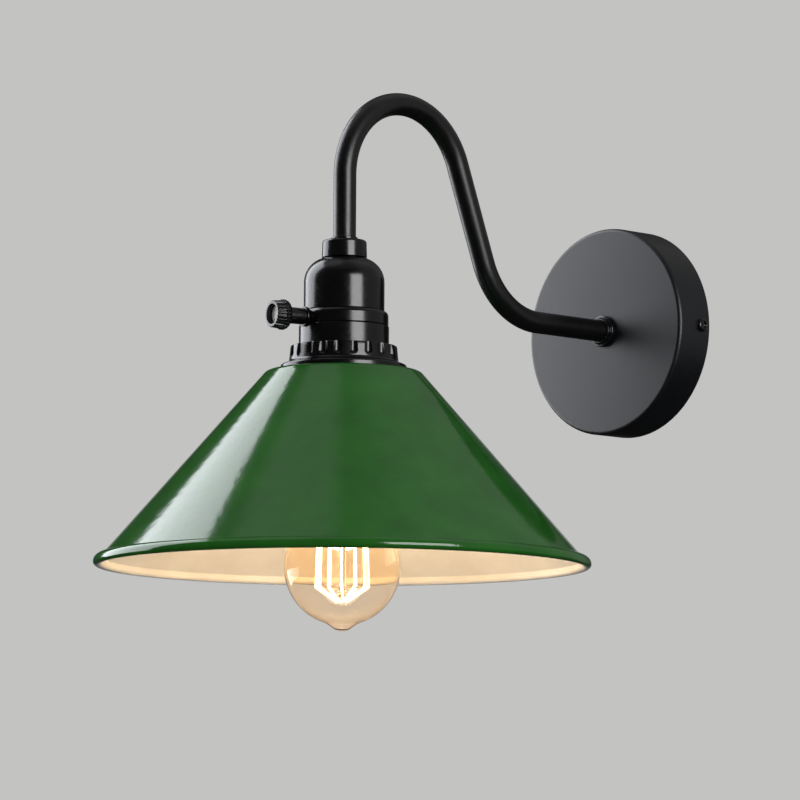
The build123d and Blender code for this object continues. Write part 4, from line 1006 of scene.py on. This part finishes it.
def knob():
    """Barrel knob with narrow ridges along it, a wider band behind and a recess in its front."""
    pitch = 360 / KNOB_RIDGES
    recess_floor = KNOB_FRONT - KNOB_RECESS_DEPTH

    def outline(sunk):
        """Section of the knob where its grip is sunk this deep."""
        barrel = rounded([
            (SHAFT_BORE_R, KNOB_BACK),
            (KNOB_R - sunk, KNOB_BACK, KNOB_BACK_EDGE_R),
            (KNOB_R - sunk, KNOB_BACK + KNOB_BAND, SOFT_ROUND),
            (KNOB_GRIP_R - sunk, KNOB_BACK + KNOB_BAND + KNOB_BAND_STEP, EDGE_ROUND),
            (KNOB_FRONT_R - sunk, KNOB_FRONT - KNOB_BEVEL_BACK),
        ], closed=False)
        front = rounded([
            (KNOB_FRONT_R - KNOB_BEVEL, KNOB_FRONT),
            (KNOB_RECESS_R, KNOB_FRONT, KNOB_RECESS_LIP_R),
            (KNOB_RECESS_R, recess_floor, KNOB_RECESS_FLOOR_R),
            (0, recess_floor),
        ], closed=False)
        points = [(0, KNOB_BACK + KNOB_SHAFT_DEPTH), (SHAFT_BORE_R, KNOB_BACK + KNOB_SHAFT_DEPTH)]
        return points + [tuple(point) for point, _ in barrel + front]

    stations = [(pitch / 2 * share, KNOB_GROOVE * sunk) for share, sunk in KNOB_GROOVE_SHAPE]
    rows = [
        [(math.radians(degrees), r, z) for r, z in outline(sunk)]
        for degrees, sunk in mirrored(stations, pitch)
    ]
    mesh = round_axis("knob", rows, KNOB_RIDGES, BLACK_LACQUER, ON_SWITCH)
    mesh.materials.append(PALE_RECESS_FLOOR)
    to_knob = ON_SWITCH.inverted()
    for face in mesh.polygons:
        centre = to_knob @ face.center
        on_floor = centre.xy.length < KNOB_RECESS_R - KNOB_RECESS_FLOOR_R - KNOB_FLOOR_MARGIN
        if on_floor and centre.z > recess_floor - KNOB_FLOOR_MARGIN:
            face.material_index = 1
    return mesh


# ---- Bulb ----------------------------------------------------------------------------------------
def globe_outline(neck_r, globe_r, tip_r, bottom, globe_z):
    """Half outline of the glass from the neck's top down to the middle of the tip."""
    neck_end = BULB_CAP_BOTTOM - BULB_NECK_OUT_OF_CAP
    fall = neck_end - globe_z
    distance = math.hypot(neck_r, fall)
    touch = math.atan2(neck_r, fall) + math.acos(globe_r / distance)
    last = math.pi - math.asin(tip_r / globe_r)
    outline = [(neck_r, GLASS_TOP), (neck_r, neck_end + BULB_NECK_BLEND)]
    for step in range(GLOBE_STEPS + 1):
        angle = touch + (last - touch) * step / GLOBE_STEPS
        outline.append((globe_r * math.sin(angle), globe_z + globe_r * math.cos(angle)))
    tip_z = globe_z + globe_r * math.cos(last)
    fall = tip_z - bottom
    return outline + [(tip_r * share, tip_z - fall * down) for share, down in BULB_TIP_SHAPE]


def bulb_envelope():
    """Thin glass, open at the top inside the cap, with a drawn tip below."""
    globe_z = BULB_BOTTOM + BULB_TIP + GLOBE_R
    neck_r = BULB_CAP_R - BULB_CAP_WALL - SLIP
    wall = BULB_GLASS_WALL
    outside = globe_outline(neck_r, GLOBE_R, BULB_TIP_R, BULB_BOTTOM, globe_z)
    inside = globe_outline(
        neck_r - wall, GLOBE_R - wall, BULB_TIP_R - wall, BULB_BOTTOM + 2 * wall, globe_z
    )
    rows = [ring_of_points(radius, height) for radius, height in outside + inside[::-1]]
    return skin("envelope", rows, True, ON_HEAD)


def bulb_cap():
    """Rolled screw shell of the bulb, with a plain band below the thread."""
    start = BULB_CAP_BOTTOM + BULB_CAP_BAND
    end = BULB_CAP_TOP - BULB_THREAD_DOWN
    inner = BULB_CAP_R - BULB_CAP_WALL
    under = BULB_CAP_TOP - BULB_CAP_TOP_WALL
    below = [
        (inner, BULB_CAP_BOTTOM + BULB_CAP_HEM),
        (inner, BULB_CAP_BOTTOM),
        (BULB_CAP_R, BULB_CAP_BOTTOM, FINE_ROUND),
        (BULB_CAP_R, start),
    ]
    above = [
        (BULB_CAP_R, end),
        (BULB_CAP_R, BULB_CAP_TOP, BULB_CAP_SHOULDER_R),
        (0, BULB_CAP_TOP),
        (0, under),
        (inner - BULB_CAP_SHOULDER_R, under),
    ]
    wave = thread_wave(BULB_THREAD_PITCH, BULB_THREAD_DEPTH, start, end, BULB_THREAD_FADE)
    return threaded("bulb_cap", below, start, end, BULB_CAP_R, above, wave, ON_HEAD,
                    sides=BULB_CAP_SIDES)


def cage_corners():
    """Corners of the filament's zigzag, hairpin by hairpin, in millimetres about the head's axis."""
    levels = (
        (CAGE_TOP_R, BULB_CAP_BOTTOM - CAGE_TOP_DOWN, 0),
        (CAGE_R, BULB_BOTTOM + CAGE_BEND_UP, 0),
        (CAGE_TIP_R, BULB_BOTTOM + CAGE_TIP_UP, 0.5),
        (CAGE_R, BULB_BOTTOM + CAGE_BEND_UP, 1),
        (CAGE_TOP_R, BULB_CAP_BOTTOM - CAGE_TOP_DOWN, 1),
    )
    half = math.pi / CAGE_HAIRPINS
    corners = []
    for pin in range(CAGE_HAIRPINS):
        for radius, height, share in levels:
            angle = half * (2 * pin + 0.5 + share)
            corners.append((radius * math.cos(angle), radius * math.sin(angle), height))
    return corners


def filament():
    """Coiled wire along the cage's zigzag."""
    return grown("coil", path_mesh("cage", cage_corners()), COIL, ON_HEAD,
                 coil_radius=COIL_R, pitch=COIL_PITCH, steps=COIL_STEPS, wire_radius=COIL_WIRE_R,
                 finish=TUNGSTEN)


# ---- The object ----------------------------------------------------------------------------------
# Pieces drawn here: CAD node, name, mesh, body, slot and finishes.
PIECES = (
    ("canopy", "canopy_pressing", canopy(), "fixture", "black_lacquer", CANOPY_LACQUER),
    ("arm_collar", "arm_collar_turning", collar(), "fixture", "black_lacquer", BLACK_LACQUER),
    ("arm_nipple", "nipple_threaded", threaded_nipple(), "fixture", "zinc_steel", ZINC),
    ("arm_lock_nut", "nut_chamfered", lock_nut(), "fixture", "zinc_steel", ZINC),
    ("wire_connectors", "connectors_ribbed", connectors(), "fixture", "connector_plastic", ORANGE_VINYL),
    ("gooseneck_arm", "arm_bent_tube", arm_tube(), "fixture", "black_lacquer", TUBE_LACQUER),
    ("neck_collar", "neck_turning", neck(), "fixture", "black_lacquer", BLACK_LACQUER),
    ("socket_cap", "cap_dome", cap(), "fixture", "black_lacquer", BLACK_LACQUER),
    ("socket_shell", "shell_drum", shell(), "fixture", "black_lacquer", BLACK_LACQUER),
    ("shade_ring_upper", "toothed_ring", toothed_ring(), "fixture", "black_lacquer", BLACK_LACQUER),
    ("shade_ring_lower", "notched_ring", notched_ring(), "fixture", "black_lacquer", BLACK_LACQUER),
    ("lamp_shade", "spun_shade", shade(), "fixture", "green_enamel", GREEN_ENAMEL, WHITE_ENAMEL),
    ("switch_bushing", "switch_stem", stem(), "fixture", "black_lacquer", BLACK_LACQUER),
    ("switch_knob", "ridged_knob", knob(), "switch", "black_lacquer", BLACK_LACQUER),
    ("bulb_glass", "glass_globe", bulb_envelope(), "bulb", "amber_glass", AMBER_GLASS),
    ("bulb_screw_cap", "rolled_screw_cap", bulb_cap(), "bulb", "cap_brass", CAP_METAL),
    ("bulb_filament", "coiled_filament", filament(), "bulb", "filament", TUNGSTEN),
)
for node, name, mesh, body, slot, *finishes in PIECES:
    show(name, mesh, body, slot, node, *finishes)

# Pieces that keep the solid's shape, with smooth shading: CAD node, body, slot and finish.
COPIES = (
    ("canopy_side_screws", "fixture", "black_lacquer", BLACK_LACQUER),
    ("switch_ferrule", "fixture", "black_lacquer", BLACK_LACQUER),
    ("wall_bracket", "fixture", "zinc_steel", ZINC),
    ("bracket_earth_screw", "fixture", "earth_green", EARTH_GREEN),
    ("earth_lead", "fixture", "bare_copper", COPPER),
    ("arm_lock_washer", "fixture", "zinc_steel", ZINC),
    ("live_wire", "fixture", "live_insulation", BLACK_VINYL),
    ("neutral_wire", "fixture", "neutral_insulation", WHITE_VINYL),
    ("thread_shell", "fixture", "contact_brass", BRASS),
    ("bulb_solder_contact", "bulb_lift", "solder", SOLDER),
    ("bulb_base_insulator", "bulb_lift", "black_glass", BLACK_GLASS),
    ("bulb_stem", "bulb", "clear_glass", CLEAR_GLASS),
    ("bulb_supports", "bulb", "support_wire", SUPPORT_STEEL),
    ("bulb_lead_in_wires", "bulb", "support_wire", SUPPORT_STEEL),
)
for node, body, slot, finish in COPIES:
    show(node + "_smooth", smooth_copy(node), body, slot, node, finish)

# Pieces out of sight in the head keep the solid's own mesh and only take a finish.
INSIDE = {
    "head_nipple": ZINC,
    "cap_lock_nut": ZINC,
    "terminal_screws": ZINC,
    "switch_shaft": ZINC,
    "cap_liner": FIBRE,
    "socket_insert": PHENOLIC,
    "switch_rotor": PHENOLIC,
    "live_contact": BRASS,
    "neutral_contact": BRASS,
    "centre_contact": BRASS,
}
for node, finish in INSIDE.items():
    slots = frame["nodes"][node].data.materials
    slots.clear()
    slots.append(finish)


# ---- Studio --------------------------------------------------------------------------------------
CAMERA_PLACE = Vector((1.742, -1.858, -0.329))
CAMERA_AZIMUTH = 46.08
CAMERA_ELEVATION = -6.55
CAMERA_ROLL = math.radians(0.31)
CAMERA_LENS = 206.6
CAMERA_SENSOR = 36.0
CAMERA_FAR = 60.0
FLOOR_Z = -2.6
FLOOR_GLOW = 0.40
FLOOR_HALF = 8.0
FLOOR_IN_GLOSS = "3A3A3A"
WALL_GREY = "C3C3C2"
ROOM_FILL = 0.48
# What gloss sees of the room: dim all round, with a paler wall where both its ramps rise, a paler
# ceiling and two round patches. A ramp is (axis of the view, start, end, level); a patch is (azimuth,
# elevation, edge, core, level), with the radii of its edge and core in degrees.
ROOM_IN_GLOSS = 0.05
WALL_RAMPS = (("Y", -0.1, 0.4, 0.40), ("X", -0.6, -0.1, 1.0))
CEILING_RAMP = ("Z", 0.60, 0.97, 0.30)
PALE_PATCHES = ((-35, 72, 20, 12, 0.60), (-134, 6.5, 14, 4, 0.80))
GLOW_COLOUR = "FFEDD3"
GLOW_WATTS = 0.28
GLOW_R = 0.016
SOFTBOX_DISTANCE = 1.8


def pointing(azimuth, elevation):
    """Unit vector towards a compass direction; azimuth 0 is out from the wall, 90 to the right."""
    turn, rise = math.radians(azimuth), math.radians(elevation)
    return Vector((math.sin(turn) * math.cos(rise), -math.cos(turn) * math.cos(rise), math.sin(rise)))


def camera():
    """The photograph's view: from the right, a little below the lamp, with a long lens."""
    data = bpy.data.cameras.new("photo_camera")
    data.lens = CAMERA_LENS
    data.sensor_width = CAMERA_SENSOR
    data.clip_end = CAMERA_FAR
    made = new_object("photo_camera", data)
    back = pointing(CAMERA_AZIMUTH, CAMERA_ELEVATION)
    right = pointing(CAMERA_AZIMUTH + 90, 0)
    up = back.cross(right)
    rolled_right = math.cos(CAMERA_ROLL) * right + math.sin(CAMERA_ROLL) * up
    rolled_up = math.cos(CAMERA_ROLL) * up - math.sin(CAMERA_ROLL) * right
    turn = Matrix((rolled_right, rolled_up, back)).transposed().to_4x4()
    made.matrix_world = Matrix.Translation(CAMERA_PLACE) @ turn
    bpy.context.scene.camera = made


def softbox(name, azimuth, elevation, width, height, radiance, colour):
    """Soft rectangular lamp that faces the lamp's head from a compass direction."""
    data = bpy.data.lights.new(name, "AREA")
    data.shape = "RECTANGLE"
    data.size = width
    data.size_y = height
    data.color = linear(colour)[:3]
    data.energy = radiance * math.pi * width * height
    lamp = new_object(name, data)
    away = pointing(azimuth, elevation)
    lamp.location = Vector((0, HEAD_Y, 0)) + away * SOFTBOX_DISTANCE
    lamp.rotation_mode = "QUATERNION"
    lamp.rotation_quaternion = away.to_track_quat("Z", "Y")


def glow():
    """Warm light of the filament, from the middle of the globe."""
    data = bpy.data.lights.new("filament_glow", "POINT")
    data.color = linear(GLOW_COLOUR)[:3]
    data.energy = GLOW_WATTS
    data.shadow_soft_size = GLOW_R
    new_object("filament_glow", data).location = (
        0, HEAD_Y, (BULB_BOTTOM + BULB_CAP_BOTTOM) / 2 * MM
    )


def floor():
    """Plain pale floor far below; lifted for the camera, and dark in the gloss of what faces down."""
    finish, tree, place = new_finish("pale_floor")
    rays = add(tree, "ShaderNodeLightPath")
    pale = add(tree, "ShaderNodeBsdfDiffuse", {"Color": mottled(tree, place, 400.0, "CFCDCA", "D6D4D1")})
    shaded = add(tree, "ShaderNodeBsdfDiffuse", {"Color": linear(FLOOR_IN_GLOSS)})
    matt = add(tree, "ShaderNodeMixShader", {
        0: rays.outputs["Is Glossy Ray"], 1: pale.outputs[0], 2: shaded.outputs[0]
    })
    seen = add(tree, "ShaderNodeMath", {0: rays.outputs["Is Camera Ray"], 1: FLOOR_GLOW},
               operation="MULTIPLY")
    lifted = add(tree, "ShaderNodeEmission", {"Color": linear(WALL_GREY), "Strength": seen.outputs[0]})
    shader = add(tree, "ShaderNodeAddShader", {0: matt.outputs[0], 1: lifted.outputs[0]})
    add(tree, "ShaderNodeOutputMaterial", {"Surface": shader.outputs[0]})
    corners = [
        (x * FLOOR_HALF, y * FLOOR_HALF, FLOOR_Z) for x, y in ((-1, -1), (1, -1), (1, 1), (-1, 1))
    ]
    mesh = bpy.data.meshes.new("floor")
    mesh.from_pydata(corners, [], [(0, 1, 2, 3)])
    mesh.materials.append(finish)
    new_object("floor", mesh)


def world():
    """Pale grey all round for the camera; in gloss, a dim room with a paler wall and ceiling."""
    made = bpy.data.worlds.new("studio")
    made.use_nodes = True
    tree = made.node_tree
    tree.nodes.clear()
    direction = add(tree, "ShaderNodeTexCoord").outputs["Generated"]
    parts = add(tree, "ShaderNodeSeparateXYZ", {0: direction}).outputs
    ramps = [(parts[axis], *ramp) for axis, *ramp in (*WALL_RAMPS, CEILING_RAMP)]
    for azimuth, elevation, edge, core, level in PALE_PATCHES:
        aim = add(tree, "ShaderNodeVectorMath", {0: direction, 1: pointing(azimuth, elevation)},
                  operation="DOT_PRODUCT")
        ramps.append((
            aim.outputs["Value"], math.cos(math.radians(edge)), math.cos(math.radians(core)), level
        ))
    lights = []
    for value, start, end, level in ramps:
        rise = add(tree, "ShaderNodeMapRange", {
            "Value": value, "From Min": start, "From Max": end, "To Min": 0.0, "To Max": level
        }, interpolation_type="SMOOTHSTEP")
        lights.append(rise.outputs["Result"])
    outwards, sideways, *others = lights
    wall = add(tree, "ShaderNodeMath", {0: outwards, 1: sideways}, operation="MULTIPLY")
    in_gloss = ROOM_IN_GLOSS
    for light in (wall.outputs[0], *others):
        in_gloss = add(tree, "ShaderNodeMath", {0: in_gloss, 1: light}, operation="ADD").outputs[0]
    rays = add(tree, "ShaderNodeLightPath").outputs
    seen = 0.0
    for ray, level in (
        ("Is Camera Ray", 1.0),
        ("Is Transmission Ray", 1.0),
        ("Is Diffuse Ray", ROOM_FILL),
        ("Is Glossy Ray", in_gloss),
    ):
        lit = add(tree, "ShaderNodeMath", {0: rays[ray], 1: level}, operation="MULTIPLY").outputs[0]
        seen = add(tree, "ShaderNodeMath", {0: seen, 1: lit}, operation="MAXIMUM").outputs[0]
    ground = add(tree, "ShaderNodeBackground", {
        "Color": linear(WALL_GREY), "Strength": seen
    })
    add(tree, "ShaderNodeOutputWorld", {"Surface": ground.outputs[0]})
    bpy.context.scene.world = made


bpy.context.scene.view_settings.view_transform = "Standard"
camera()
world()
floor()
glow()
softbox("key_softbox", azimuth=-72, elevation=19, width=1.6, height=2.5, radiance=4.7,
        colour="F6F9FF")
softbox("strip_softbox", azimuth=82.5, elevation=8, width=1.05, height=1.0, radiance=8.0,
        colour="FFFFFF")
